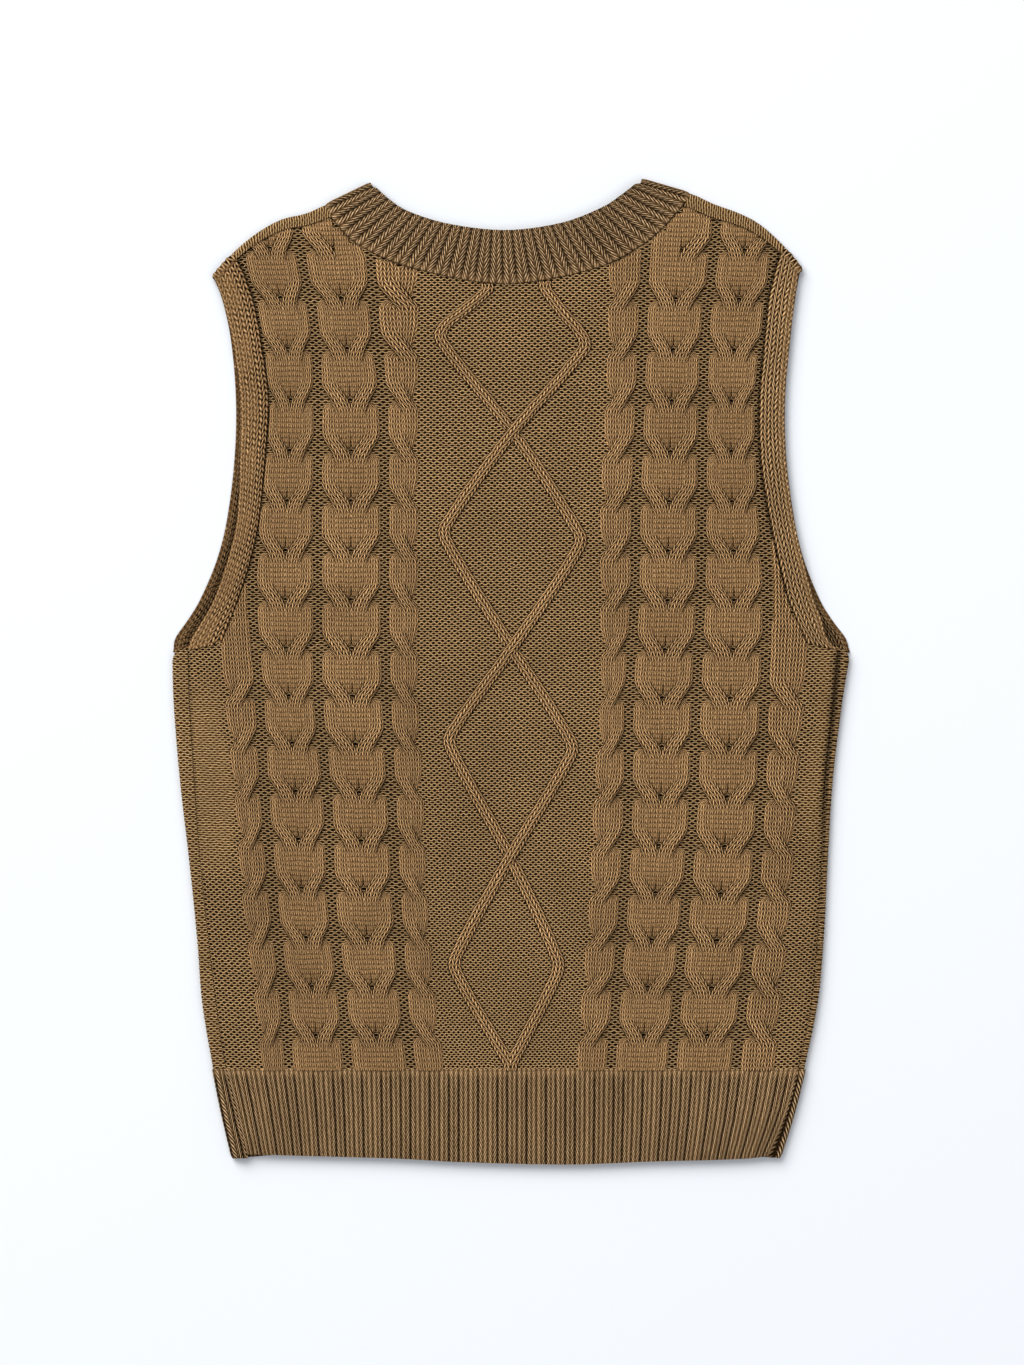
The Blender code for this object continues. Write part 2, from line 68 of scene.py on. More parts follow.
MM = 0.001
WALL = 3.0  # packed wall
LAYER_GAP = 0.9
FOLD_RADIUS = (WALL + LAYER_GAP) / 2
FOLD_STEPS = 8  # steps of a mesh round a fold
CREST_TO_MIDDLE = FOLD_RADIUS + WALL / 2
LOWER = WALL / 2  # height of the middle of the front's wall
UPPER = LOWER + 2 * FOLD_RADIUS  # and of the back's
ON_TOP = UPPER - 0.1  # height above which cloth counts as the upper layer
SKIN = 1.2  # from the middle of a wall to the foot of its stitches
CLOTH = 1.7  # thickness of the shells that carry the stitches
TABLE_ROOM = 0.05  # least height of any stitch above the table

HEM_TOP = -262.0
UNDERARM = 14.0
UNDERARM_STEP = 5.0
BEND_FROM = 100.0  # height above which a panel's rows bend to the shoulders
EDGE_TOP = 248.0
EDGE_SEAM_TOP = 262.0
NECKBAND_WIDTH = 34.0
NECK_MARGIN = 9.0 / 290.0  # share of the back neck's line that lies in each shoulder's fold
FRONT_NECK_EDGE = 237.0
FRONT_NECK_CROWDING = 0.07  # how far points crowd to the front neck's ends
EDGING_ROWS = {"edge": 0, "seam": 1}  # rows of a shoulder's table where the armhole's edging crosses the fold
BAND_ROWS = {"edge": -1, "seam": 5}  # and where the neckband does

GUTTER_HALF = 2.8  # from the middle of a gutter to the cables beside it
GUTTER_REACH = 9.0  # and to a place well under them
PURL_WALE = 4.0
COURSE = 3.25
CROSSING_COURSES = 10  # courses from one crossing of a cable to the next
LAST_CROSSING = 15
TOP_ROOM = 0.4  # from the end of a strand to the panel's top
SIDE_ROOM = 0.6  # and from its side to the panel's
FOOT = 0.4  # how far the sides of a strand reach into the ground
STRANDS_FROM = HEM_TOP - 1.0  # heights between which strands are followed
STRANDS_TO = 330.0
DOUBLES = 0.001  # distance under which two points are one
SMOOTH_UNDER = 60.0  # degrees under which an edge is shaded smooth


@dataclass(frozen=True)
class Table:
    """Measured values in named columns."""

    names: str
    rows: tuple[tuple[float, ...], ...]

    def column(self, name: str) -> Array:
        """Values of one column."""
        return np.array(self.rows, float)[:, self.names.split().index(name)]

    def read(self, value: str, at: Array | float, key: str = "height") -> Array:
        """Values of one column, on the smooth curve through it, where the key column has given values."""
        order = np.argsort(self.column(key))
        return curve(self.column(key)[order], self.column(value)[order], np.asarray(at, float))


# side folds, and how far the front turns up over the top there
SIDES = Table("height left right left_wrap right_wrap", (
    (-322, -184, 176.5, 10, 8),
    (-290, -191.5, 186.5, 9.9, 4.6),
    (-257, -198, 194.5, 8.6, 4.2),
    (-217, -204.5, 202.5, 9.2, 4.2),
    (-177, -207.6, 206.2, 7.6, 4.5),
    (-124, -213, 209, 7.4, 4.6),
    (-72, -219, 212.2, 9.5, 5.2),
    (-20, -223.2, 218.5, 10.5, 6),
    (14, -224.1, 224.1, 10.5, 8.6),
))
# lower edges of the two hem ribs
HEM_EDGE = Table("across back front", (
    (-180, -318, -321), (-150, -319, -318.8), (-75, -321.2, -320.2), (-35, -323.4, -322.4),
    (37, -325.05, -324), (90, -323.2, -322.2), (155, -321.2, -320.2), (175, -318.4, -320.5),
))
# finished edges and inner sides of the armholes' edgings, and how far the front peeks out beside them
ARMHOLES = Table("height left_edge left_seam left_peek right_edge right_seam right_peek", (
    (14, -213.6, -193, 10.5, 215.5, 196.5, 8.4),
    (21, -211.4, -190.6, 11.1, 208.6, 193.7, 12.6),
    (34, -203.6, -185.5, 9.9, 204.5, 188, 7),
    (47, -196.4, -180.5, 9.2, 199.7, 182.5, 3.9),
    (73.6, -187.1, -172, 7.3, 192.4, 175.9, 0.6),
    (100, -181, -166.5, 6.8, 186.5, 170.2, 0),
    (140, -179, -162.4, 3.8, 181.3, 164, 0),
    (179, -178.7, -160.2, 3.1, 180.4, 163.2, 0),
    (219, -184, -165.3, 1.2, 183.8, 166.7, 0),
    (246, -191, -170.6, 0, 187.1, 169.4, 0),
    (270, -199, -179.5, 0, 191, 175, 0),
))
# where each shoulder folds, and how far the front comes over the top
LEFT_SHOULDER = Table("across height wrap", (
    (-198.3, 260.4, 4.5), (-184.5, 275.8, 5), (-168, 289.5, 6), (-151.5, 298.6, 7.2),
    (-136, 302.2, 8), (-124, 307.6, 8.8), (-109, 314.6, 8.8), (-93, 322.6, 8.8),
))
RIGHT_SHOULDER = Table("across height wrap", (
    (192.8, 265, 4.5), (181, 279.6, 5), (164, 295.2, 7), (150, 302.6, 8),
    (133, 308.8, 9), (119, 315.4, 9.2), (103, 319.8, 9.2), (86, 325.05, 9.2),
))
# finished edge and seam of the back neckband
BACK_NECK = Table("edge_across edge_height seam_across seam_height", (
    (-93, 322.6, -124, 307.6),
    (-80.2, 311, -113, 292),
    (-67, 303, -98, 279.5),
    (-40.6, 295, -64, 265.6),
    (-4, 291, -4, 255.5),
    (32, 295.6, 56, 266),
    (58.4, 305.4, 88, 282.5),
    (72, 314, 106, 299),
    (86, 325.05, 119, 315.4),
))
# soft folds of the back: middle, half sizes along and across, turn from +X in degrees, and rise
SWELLS = (
    (-100, -232, 105, 26, -3, 1.8),
    (105, -230, 95, 24, 4, 1.5),
    (-118, 10, 240, 62, 88, 1.2),
    (115, 20, 240, 62, 92, 1.2),
    (-170, -120, 110, 24, 97, 0.9),
    (10, 150, 90, 40, 20, 0.7),
    (185, -60, 90, 20, 84, 0.8),
)
# lines of the back's pattern: outer cable edges, gutter middles and the centre panel
COLUMNS = Table(
    "height outer_left gutter_1 gutter_2 gutter_3 centre_left "
    "centre_right gutter_4 gutter_5 gutter_6 outer_right", (
        (330, -210, -186, -146, -97, -61.1, 63.7, 92, 138, 180, 205),
        (271.6, -201.6, -177.9, -138.3, -92.7, -61.1, 63.7, 88.4, 133, 173.2, 194.4),
        (232, -195, -168.6, -130.3, -90.1, -61.1, 63.4, 86.8, 128.4, 168.6, 192.4),
        (179.2, -189.8, -163.3, -127.7, -84.8, -61.1, 61.7, 84.8, 126.4, 163.3, 189.8),
        (113.2, -191.7, -168, -128, -83.5, -61.1, 58.4, 82.2, 125.7, 165.3, 192.4),
        (47.2, -193.1, -170.6, -127.7, -83.5, -61.1, 58.4, 81.2, 124.7, 168.6, 196.4),
        (-18.8, -189.1, -166, -127.1, -82.2, -61.1, 58.4, 77.5, 121.8, 166.7, 193.1),
        (-84.8, -182.5, -162.4, -121.1, -78.9, -57.8, 53.8, 76.9, 120.1, 164.3, 187.8),
        (-150.8, -177.5, -156.8, -118.5, -75.6, -55.1, 51.2, 73.9, 115.2, 160.1, 184.5),
        (-216.8, -169.3, -149.8, -111.2, -71, -49.8, 45.9, 69, 109.2, 152.8, 177.9),
        (-259.1, -164.7, -146.8, -107.9, -66.3, -44.6, 43.2, 65.7, 105.9, 148.2, 173.9),
    ))
# purl wales from the outer left line to each of those lines
WALES = {"outer_left": 0, "gutter_1": 5, "gutter_2": 14, "gutter_3": 23, "centre_left": 28, "centre_right": 58,
         "gutter_4": 63, "gutter_5": 72, "gutter_6": 81, "outer_right": 86}
GUTTERS = [name for name in WALES if name.startswith("gutter")]
# heights of the rows of cable crossings, at the left and at the right
CROSSINGS = Table("count left right", (
    (17, -303, -303), (15, -237.9, -237.9), (13, -173.2, -175.9), (11, -107.9, -114.5), (9, -45.2, -48.5),
    (6, 49.2, 48.5), (3, 147.5, 146.8), (0, 248.5, 247.2), (-2, 313, 312),
))
# middles of the lattice's two cords
CORDS = (
    Table("across height", (
        (-16.2, 255.8), (-16.2, 251.8), (-30, 239.2), (-43.9, 228), (-45.9, 218.1), (1, 158.1), (43.2, 93.4),
        (44.6, 82.8), (0.3, 15.5), (-39.9, -41.2), (-39.3, -51.8), (-1, -122.4), (30, -189.1),
        (29.4, -200.3), (-0.3, -259.1),
    )),
    Table("across height", (
        (22.1, 255.8), (22.8, 251.8), (34.6, 236), (46.5, 221.4), (47.2, 212.2), (1, 158.1), (-42.6, 97.4),
        (-43.2, 86.8), (0.3, 15.5), (38.6, -45.2), (38.6, -55.8), (-1, -122.4), (-36.6, -187.8),
        (-36, -199), (-1, -259.1),
    )),
)


class Hand(Enum):
    """Sides of the vest as seen from above."""

    LEFT = "left"
    RIGHT = "right"

    @property
    def out(self) -> float:
        """Sign of the direction away from the middle."""
        return -1.0 if self is Hand.LEFT else 1.0


class Layer(Enum):
    """Layers of the cloth as it lies."""

    BACK = "back"
    FRONT = "front"


class Lean(Enum):
    """Direction of the strands on top at a cable's crossings."""

    BACKSLASH = 0
    SLASH = 1


class Stitch(Enum):
    """Stitches that a yarn finish can show."""

    PURL = "purl"
    KNIT = "knit"
    RIB = "rib"


# ---------------- lines and grids of numbers

def curve(places: Array, values: Array, at: Array) -> Array:
    """Read the smooth curve through a few values.

    Args:
        places: Rising places of the values.
        values: Values at those places.
        at: Places to read.

    Returns:
        The curve's values, of the same shape as `at`.
    """
    last = len(places) - 1
    k = np.clip(np.searchsorted(places, at, side="right") - 1, 0, last - 1)
    rows = np.arange(last + 1)
    before, after = np.maximum(rows - 1, 0), np.minimum(rows + 1, last)
    slopes = (values[after] - values[before]) / (places[after] - places[before])
    span = places[k + 1] - places[k]
    t = (at - places[k]) / span
    rise = (3 - 2 * t) * t * t
    leave = slopes[k] * span * t * (1 - t) ** 2
    arrive = slopes[k + 1] * span * t * t * (t - 1)
    return values[k] * (1 - rise) + values[k + 1] * rise + leave + arrive


def ramp(at: Array | float, start: Array | float, end: Array | float) -> Array:
    """Smooth step from 0 where `at` is `start` to 1 where it is `end`, which may be the lower of the two."""
    t = np.clip((at - start) / (end - start), 0.0, 1.0)
    return t * t * (3 - 2 * t)


def mix(a: Any, b: Any, t: Any) -> Any:
    """Value part of the way from a to b."""
    return a * (1 - t) + b * t


def stacked(*parts: Array | float) -> Array:
    """Coordinates side by side, each spread over the whole grid."""
    return np.stack(np.broadcast_arrays(*parts), axis=-1)


def at_height(plan: Array, z: float) -> Array:
    """Points of the plan raised to one height."""
    return stacked(plan[..., 0], plan[..., 1], z)


def length_along(points: Array) -> Array:
    """Length of a line from its first point to each of its points."""
    return np.concatenate([[0.0], np.cumsum(np.linalg.norm(np.diff(points, axis=0), axis=1))])


def evenly(points: Array, count: int, margin: float = 0.0) -> Array:
    """Space points evenly along a line.

    Args:
        points: Corners of the line, one to a row.
        count: Number of points to return.
        margin: Share of the line's length left out at each end.

    Returns:
        The points, one to a row.
    """
    length = length_along(points)
    at = np.linspace(margin, 1 - margin, count) * length[-1]
    return np.stack([np.interp(at, length, column) for column in points.T], axis=1)


def swell(x: Array, y: Array) -> Array:
    """Rise of the back's soft folds.

    Args:
        x: Places across.
        y: Heights in the plan.

    Returns:
        The rise at each place.
    """
    rise = np.zeros_like(x)
    for across, height, half_length, half_width, degrees, crest in SWELLS:
        turn = math.radians(degrees)
        along = (x - across) * math.cos(turn) + (y - height) * math.sin(turn)
        beside = (y - height) * math.cos(turn) - (x - across) * math.sin(turn)
        far = np.minimum(1.0, np.hypot(along / half_length, beside / half_width))
        rise += crest * (1 + np.cos(np.pi * far)) / 2
    return rise


# ---------------- outlines

@dataclass(frozen=True)
class Flank:
    """One side of the vest: its fold, side seam, armhole and shoulder."""

    hand: Hand
    shoulder: Table
    slope_step: float = 0.5

    def crest(self, height: Array) -> Array:
        """Outermost place of the side fold."""
        return SIDES.read(self.hand.value, height)

    def side(self, height: Array, layer: Layer) -> Array:
        """Place where a layer's panel ends: the seam on top, or the start of the fold below."""
        wrap = SIDES.read(self.hand.value + "_wrap", height) if layer is Layer.BACK else CREST_TO_MIDDLE
        return self.crest(height) - self.hand.out * wrap

    def armhole(self, height: Array, line: str, layer: Layer) -> Array:
        """Place of an armhole's edge or seam in one layer."""
        peek = ARMHOLES.read(self.hand.value + "_peek", height) if layer is Layer.FRONT else 0.0
        return ARMHOLES.read(f"{self.hand.value}_{line}", height) + self.hand.out * peek

    def fold(self, across: Array) -> tuple[Array, Array]:
        """Follow the shoulder's fold.

        Args:
            across: Places across the shoulder.

        Returns:
            The crest's points in the plan and the outward directions, one to a row.
        """
        before, here, after = (
            self.shoulder.read("height", across + off, "across")
            for off in (-self.slope_step, 0.0, self.slope_step)
        )
        out = stacked(before - after, 2 * self.slope_step)
        return stacked(across, here), out / np.linalg.norm(out, axis=-1, keepdims=True)

    def corner(self, row: int) -> tuple[Array, Array]:
        """Crest and outward direction at a row of the shoulder's table.

        Args:
            row: Row of the table; at its ends the direction is square to the last stretch.

        Returns:
            The crest's point in the plan and the outward direction, one row each.
        """
        places = self.shoulder.rows
        if row not in (0, -1):
            return self.fold(np.array([places[row][0]]))
        here, other = (np.array(places[k][:2], float) for k in (row, 1 if row == 0 else -2))
        along = here - other
        out = np.array([-along[1], along[0]]) / np.linalg.norm(along)
        return here[None], (out if out[1] > 0 else -out)[None]

    def beside_fold(self, crest: Array, out: Array, layer: Layer) -> Array:
        """Places where a layer ends at the shoulder: the seam on top, or the start of the fold below."""
        wrap = self.shoulder.read("wrap", crest[..., :1], "across") if layer is Layer.BACK else CREST_TO_MIDDLE
        return crest - out * wrap


FLANKS = (Flank(Hand.LEFT, LEFT_SHOULDER), Flank(Hand.RIGHT, RIGHT_SHOULDER))


def turn_over(crest: Array, out: Array) -> Array:
    """Round a fold from the lower layer to the upper one.

    Args:
        crest: Outermost points of the fold in the plan, one to a row.
        out: Outward directions in the plan.

    Returns:
        Points of the middle of the wall, the turn on the first axis.
    """
    angle = np.linspace(0, np.pi, FOLD_STEPS + 1)[:, None, None]
    plan = crest - out * CREST_TO_MIDDLE + out * FOLD_RADIUS * np.sin(angle)
    return at_height(plan, LOWER + FOLD_RADIUS * (1 - np.cos(angle[..., 0])))


def turned_strip(arc: Array, seam: Array, shares: Sequence[float], axis: int) -> Array:
    """Carry a turned fold on to its seam, by shares of the way, the turn along one axis of the strip."""
    return np.stack([*arc, *(mix(arc[-1], at_height(seam, UPPER), share) for share in shares)], axis=axis)


def turned_side(flank: Flank, levels: Array, shares: Sequence[float],
                rounding: Array | float = 0.0) -> Array:
    """Strip of the front that turns up round one side.

    Args:
        flank: Side of the vest.
        levels: Heights of its rows.
        shares: Places of the mesh's columns from the fold to the seam.
        rounding: How far the fold draws in at each row.

    Returns:
        Points of the middle of the wall, the columns in the order that faces outwards.
    """
    crest = stacked(flank.crest(levels) - flank.hand.out * rounding, levels)
    seam = stacked(flank.side(levels, Layer.BACK), levels)
    strip = turned_strip(turn_over(crest, np.array([flank.hand.out, 0.0])), seam, shares, axis=1)
    return strip if flank.hand is Hand.LEFT else strip[:, ::-1]


def neckline(layer: Layer, line: str, count: int) -> Array:
    """Follow the neckband's edge or seam: through its table behind, and on half an oval in front.

    Args:
        layer: Layer of the cloth.
        line: "edge" or "seam".
        count: Number of points to return.

    Returns:
        Points of the plan, from left to right.
    """
    if layer is Layer.BACK:
        corners = stacked(*(BACK_NECK.column(f"{line}_{axis}") for axis in ("across", "height")))
        places = np.arange(len(corners), dtype=float)
        at = np.linspace(0, places[-1], 12 * (len(corners) - 1) + 1)
        return evenly(stacked(*(curve(places, column, at) for column in corners.T)), count, NECK_MARGIN)
    left, right = (f.beside_fold(*f.corner(BAND_ROWS[line]), Layer.FRONT)[0] for f in FLANKS)
    lowest = FRONT_NECK_EDGE - (NECKBAND_WIDTH if line == "seam" else 0.0)
    share = np.linspace(0, 1, count)
    angle = np.pi * (share - FRONT_NECK_CROWDING * np.sin(2 * np.pi * share))
    across = mix(left[0], right[0], (1 - np.cos(angle)) / 2)
    return stacked(across, mix(mix(left[1], right[1], share), lowest, np.sin(angle)))


@dataclass(frozen=True)
class Chart:
    """Where the back's wales and courses lie."""

    gutter_narrow: float = 2.3  # half a gutter's period of purl beside a cable's body
    gutter_wide: float = 2.7  # and beside its crossing
    margin: int = 10  # wales carried on past the outer lines
    tilt_width: float = 400.0  # width over which the rows of crossings tilt
    draw_in: Pair = (-0.42, 0.04)  # where a waist begins and is full, in rows from a crossing
    let_out: Pair = (0.24, 0.06)  # where it ends and is full for the last time

    def course(self, x: Array, y: Array) -> Array:
        """Count of courses from the first row of crossings down to a point."""
        left, right = (CROSSINGS.read("count", y, hand) for hand in ("left", "right"))
        return CROSSING_COURSES * mix(left, right, x / self.tilt_width + 0.5)

    def waist(self, x: Array, y: Array) -> Array:
        """How far a cable is drawn in: slowly above a row of crossings, fully at it, out soon below."""
        past = (self.course(x, y) / CROSSING_COURSES + 0.5) % 1 - 0.5
        return ramp(past, *self.draw_in) * ramp(past, *self.let_out)

    def wale(self, x: Array, y: Array) -> Array:
        """Count purl wales, with a wale to each gutter.

        Args:
            x: Places across.
            y: Heights in the plan.

        Returns:
            The count of purl wales across to each place.
        """
        room = mix(self.gutter_narrow, self.gutter_wide, self.waist(x, y))
        anchors, values = [], []
        for name, count in WALES.items():
            for off in (-1, 1) if name in GUTTERS else (0,):
                anchors.append(COLUMNS.read(name, y) + off * room)
                values.append(count + off / 2)
        past = self.margin * PURL_WALE
        anchors = stacked(anchors[0] - past, *anchors, anchors[-1] + past)
        values = np.array([values[0] - self.margin, *values, values[-1] + self.margin])
        k = np.clip((anchors <= x[..., None]).sum(-1) - 1, 0, len(values) - 2)
        low, high = (np.take_along_axis(anchors, k[..., None] + step, -1)[..., 0] for step in (0, 1))
        return mix(values[k], values[k + 1], (x - low) / (high - low))


CHART = Chart()


# ---------------- making meshes

def select_only(*pieces: Piece) -> None:
    """Select pieces and nothing else.

    Args:
        pieces: What to select, the first one active.
    """
    bpy.ops.object.select_all(action="DESELECT")
    for piece in reversed(pieces):
        piece.select_set(True)
        bpy.context.view_layer.objects.active = piece


def grid_piece(name: str, points: Array, stitches: Array, shades: dict[str, Array]) -> Piece:
    """Model a sheet from a plain grid, moved point by point and kept off the table.

    Args:
        name: Name of the piece.
        points: Rows of columns of points in millimetres.
        stitches: Wale and course of each point.
        shades: Named values of each point for the material.

    Returns:
        The piece, with its stitches as its UV map.
    """
    rows, columns = points.shape[:2]
    points[..., 2] = np.maximum(points[..., 2], TABLE_ROOM)
    select_only()
    bpy.ops.mesh.primitive_grid_add(x_subdivisions=columns - 1, y_subdivisions=rows - 1, size=1.0)
    piece = bpy.context.object
    piece.name = piece.data.name = name
    mesh = piece.data
    mesh.vertices.foreach_set("co", (points * MM).astype(np.float32).ravel())
    corners = np.zeros(len(mesh.loops), np.int32)
    mesh.loops.foreach_get("vertex_index", corners)
    mesh.uv_layers.active.data.foreach_set("uv", stitches.reshape(-1, 2)[corners].astype(np.float32).ravel())
    for key, values in shades.items():
        layer = mesh.attributes.new(key, "FLOAT", "POINT")
        layer.data.foreach_set("value", np.broadcast_to(values, (rows, columns)).astype(np.float32).ravel())
    mesh.update()
    return piece


def apply(piece: Piece, kind: str, **settings: Any) -> None:
    """Put a modifier on a piece and apply it.

    Args:
        piece: The piece.
        kind: Type of the modifier.
        settings: Its settings.
    """
    modifier = piece.modifiers.new(kind.lower(), kind)
    for key, value in settings.items():
        setattr(modifier, key, value)
    select_only(piece)
    bpy.ops.object.modifier_apply(modifier=modifier.name)


def merge(piece: Piece, distance: float, close_ends: bool = False) -> None:
    """Merge a piece's doubles and close its open ends.

    Args:
        piece: The piece.
        distance: Distance in millimetres under which points are merged.
        close_ends: Whether the open ends get a face, and all faces turn outwards.
    """
    select_only(piece)
    bpy.ops.object.mode_set(mode="EDIT")
    bpy.ops.mesh.select_all(action="SELECT")
    bpy.ops.mesh.remove_doubles(threshold=distance * MM)
    if close_ends:
        bpy.ops.mesh.select_all(action="DESELECT")
        bpy.ops.mesh.select_non_manifold(extend=False)
        bpy.ops.mesh.fill_holes(sides=0)
        bpy.ops.mesh.select_all(action="SELECT")
        bpy.ops.mesh.normals_make_consistent(inside=False)
    bpy.ops.object.mode_set(mode="OBJECT")


def join(pieces: Sequence[Piece], name: str) -> Piece:
    """Join pieces into one.

    Args:
        pieces: The pieces.
        name: Name of the whole.

    Returns:
        The whole.
    """
    select_only(*pieces)
    bpy.ops.object.join()
    pieces[0].name = pieces[0].data.name = name
    return pieces[0]


def normals(points: Array, ring: bool = False) -> Array:
    """Outward directions of a grid of points.

    Args:
        points: Rows of columns of points.
        ring: Whether the last column falls on the first.

    Returns:
        A unit vector for each point.
    """
    padded = np.concatenate([points[:, -2:-1], points, points[:, 1:2]], axis=1) if ring else points
    along = np.gradient(padded, axis=1)[:, 1:-1] if ring else np.gradient(points, axis=1)
    facing = np.cross(along, np.gradient(points, axis=0))
    return facing / np.maximum(np.linalg.norm(facing, axis=-1, keepdims=True), 1e-9)


def area_of(points: Array) -> float:
    """Area in square metres of a grid of points in millimetres."""
    one, two = points[1:, 1:] - points[:-1, :-1], points[1:, :-1] - points[:-1, 1:]
    return float(np.linalg.norm(np.cross(one, two), axis=-1).sum() / 2 * MM * MM)


# ---------------- finishes

def linear(code: str) -> tuple[float, float, float, float]:
    """Linear colour of an sRGB hex value."""
    parts = [int(code[i:i + 2], 16) / 255 for i in (1, 3, 5)]
    return (*[p / 12.92 if p <= 0.04045 else ((p + 0.055) / 1.055) ** 2.4 for p in parts], 1.0)


OPTIONS = {"Math": "operation", "VectorMath": "operation", "MapRange": "interpolation_type"}


def add_node(tree: bpy.types.NodeTree, kind: str, *values: Any, **settings: Any) -> bpy.types.NodeSocket:
    """Add one node with its settings and links.

    Args:
        tree: Node tree of a material.
        kind: Name of the node's type without its prefix, then its main option, if it isn't the usual one.
        values: Value or socket for each input in turn; None leaves it as it is.
        settings: Properties of the node; `sockets` holds values or sockets by input name.

    Returns:
        The node's first output.
    """
    kind, *option = kind.split()
    made = tree.nodes.new("ShaderNode" + kind)
    named = settings.pop("sockets", {})
    if option:
        settings[OPTIONS[kind]] = option[0]
    for key, value in settings.items():
        setattr(made, key, value)
    for key, value in [*enumerate(values), *named.items()]:
        if isinstance(value, bpy.types.NodeSocket):
            tree.links.new(value, made.inputs[key])
        elif value is not None:
            made.inputs[key].default_value = value
    return made.outputs[0] if made.outputs else None


@dataclass(frozen=True)
class Yarn:
    """Matt cotton-blend yarn, plied and knitted: soft, slightly hairy legs with near-black painted shade in the
    gaps between.
    """

    name: str
    stitch: Stitch
    # colour of the painted shade: in the gaps between stitches, and wherever the points carry painted shade
    gap_shade: str = "#120800"
    body: str = "#61411d"
    # colour of the painted highlight on the crowns of the legs and threads
    light: str = "#deb481"
    leg_rise: float = 1.5  # courses that a leg climbs over half a wale
    seam_dark: float = 0.5  # painted shade between two legs that touch
    relief: float = 0.7  # depth of the drawn stitches in millimetres
    valley: Pair = (0.6, 0.85)  # where a rib's painted valley shade begins and is full, from 0 on its crest to 1
    rungs: Pair = (0.5, 0.88)  # painted shade of a valley between and on its rungs
    wave: float = 0.95  # how far a purl thread waves, as an angle of its course's turn
    stray: float = 0.35  # how far wales stray, in wales
    stray_cells: float = 140.0  # cells of that straying to a metre, a stitch or two to each
    broad_cells: float = 22.0  # cells of the dye's broad unevenness to a metre
    fuzz_cells: float = 900.0  # cells of hair to a metre, as coarse as needs to show: real hairs are finer

    def knit(self, node: Callable, across: Any, along: Any, slack: Any, full: Any) -> Drawn:
        """Draw knit stitches: two leaning legs to a wale, with painted shade in the slits between them.

        Args:
            node: Function that adds a node.
            across: Socket with the wale count.
            along: Socket with the course count.
            slack: Socket with how far the stitches lie closed.
            full: Socket with how far they don't.

        Returns:
            Sockets with the painted shade, the painted highlight and the count along the legs.
        """
        rib = self.stitch is Stitch.RIB
        off = node("Math SUBTRACT", node("Math FRACT", across), 0.5)
        away = node("Math MULTIPLY", node("Math ABSOLUTE", off), 2.0)
        leg = node("Math SUBTRACT", along, node("Math MULTIPLY", away, self.leg_rise))
        body = node("Math ABSOLUTE", node("Math SINE", node("Math MULTIPLY", leg, math.pi)))
        beside = node("Math ABSOLUTE", node("Math SUBTRACT", away, 0.5))
        rows = node("Math COSINE", node("Math MULTIPLY", along, 2 * math.pi))

        # painted shade in the slits at the wale's middle and sides, or only at the middle of a rib, where the
        # legs' bodies end
        reach = node("MapRange SMOOTHSTEP", *((away, -0.06, 0.18) if rib else (beside, 0.04, 0.3)))
        slit = node("Math MULTIPLY", reach, node("MapRange SMOOTHSTEP", body, 0.35, 1.0, 1.0, 0.0))
        seam = node("MapRange SMOOTHSTEP", body, 0.0, 0.6, self.seam_dark, 0.0)
        # painted shade between rows that lie closed
        ridge = node("MapRange", rows, 0.0, 1.0, 0.0, 0.55)
        shades = [node("Math MULTIPLY", slit, full), node("Math MULTIPLY", ridge, node("MapRange", slack))]
        # painted shade in a rib's valleys
        if rib:
            valley = node("MapRange SMOOTHSTEP", away, *self.valley)
            valley = node("Math MULTIPLY", valley, node("MapRange", rows, -1.0, 1.0, *self.rungs))
            shades += [node("Math MULTIPLY", valley, full), node("MapRange", away, 0.02, 0.2, 0.5, 0.0)]
        dark = node("Math MULTIPLY", seam, node("MapRange", slack, 0.0, 1.0, 1.0, 0.25))
        for shade in shades:
            dark = node("Math MAXIMUM", dark, shade)
        # painted highlight on the middle of each leg
        light = node("Math MULTIPLY", node("MapRange", beside, 0.1, 0.5, 1.0, 0.0), body)
        return dark, light, leg

    def purl(self, node: Callable, across: Any, along: Any, slack: Any, full: Any) -> Drawn:
        """Draw purl stitches: wavy threads with two staggered rows of holes to a course, the holes in painted
        shade.

        Args:
            node: Function that adds a node.
            across: Socket with the wale count.
            along: Socket with the course count.
            slack: Socket with how far the stitches lie closed.
            full: Socket with how far they don't.

        Returns:
            Sockets with the painted shade, the painted highlight and the count along the threads.
        """
        turn_u, turn_v = (node("Math MULTIPLY", count, 2 * math.pi) for count in (across, along))
        cos_u, cos_v, sin_v = node("Math COSINE", turn_u), node("Math COSINE", turn_v), node("Math SINE", turn_v)
        bend = node("Math MULTIPLY", node("Math MULTIPLY", cos_u, sin_v), full)
        bend = node("Math MULTIPLY_ADD", bend, -self.wave, turn_v)
        thread = node("Math COSINE", node("Math MULTIPLY", bend, 2.0))
        # painted shade in the holes and beside the threads, painted highlight on the threads' crowns
        hole = node("MapRange SMOOTHSTEP", node("Math MULTIPLY", cos_u, cos_v), -0.06, 0.3)
        hole = node("Math MULTIPLY", hole, node("MapRange", cos_v, -1.0, 1.0, 0.9, 1.0))
        shadow = node("MapRange", thread, -0.2, 1.0, 0.0, 0.4)
        shadow = node("Math MULTIPLY", shadow, node("MapRange", slack, 0.0, 1.0, 1.0, 0.45))
        dark = node("Math MAXIMUM", node("Math MULTIPLY", hole, full), shadow)
        return dark, node("MapRange", thread, -1.0, 0.4, 1.0, 0.0), bend

    def material(self) -> bpy.types.Material:
        """Make the finish, unless it is made already.

        Returns:
            The material.
        """
        made = bpy.data.materials.get(self.name)
        if made:
            return made
        made = bpy.data.materials.new(self.name)
        made.use_nodes = True
        made.node_tree.nodes.clear()
        node = partial(add_node, made.node_tree)
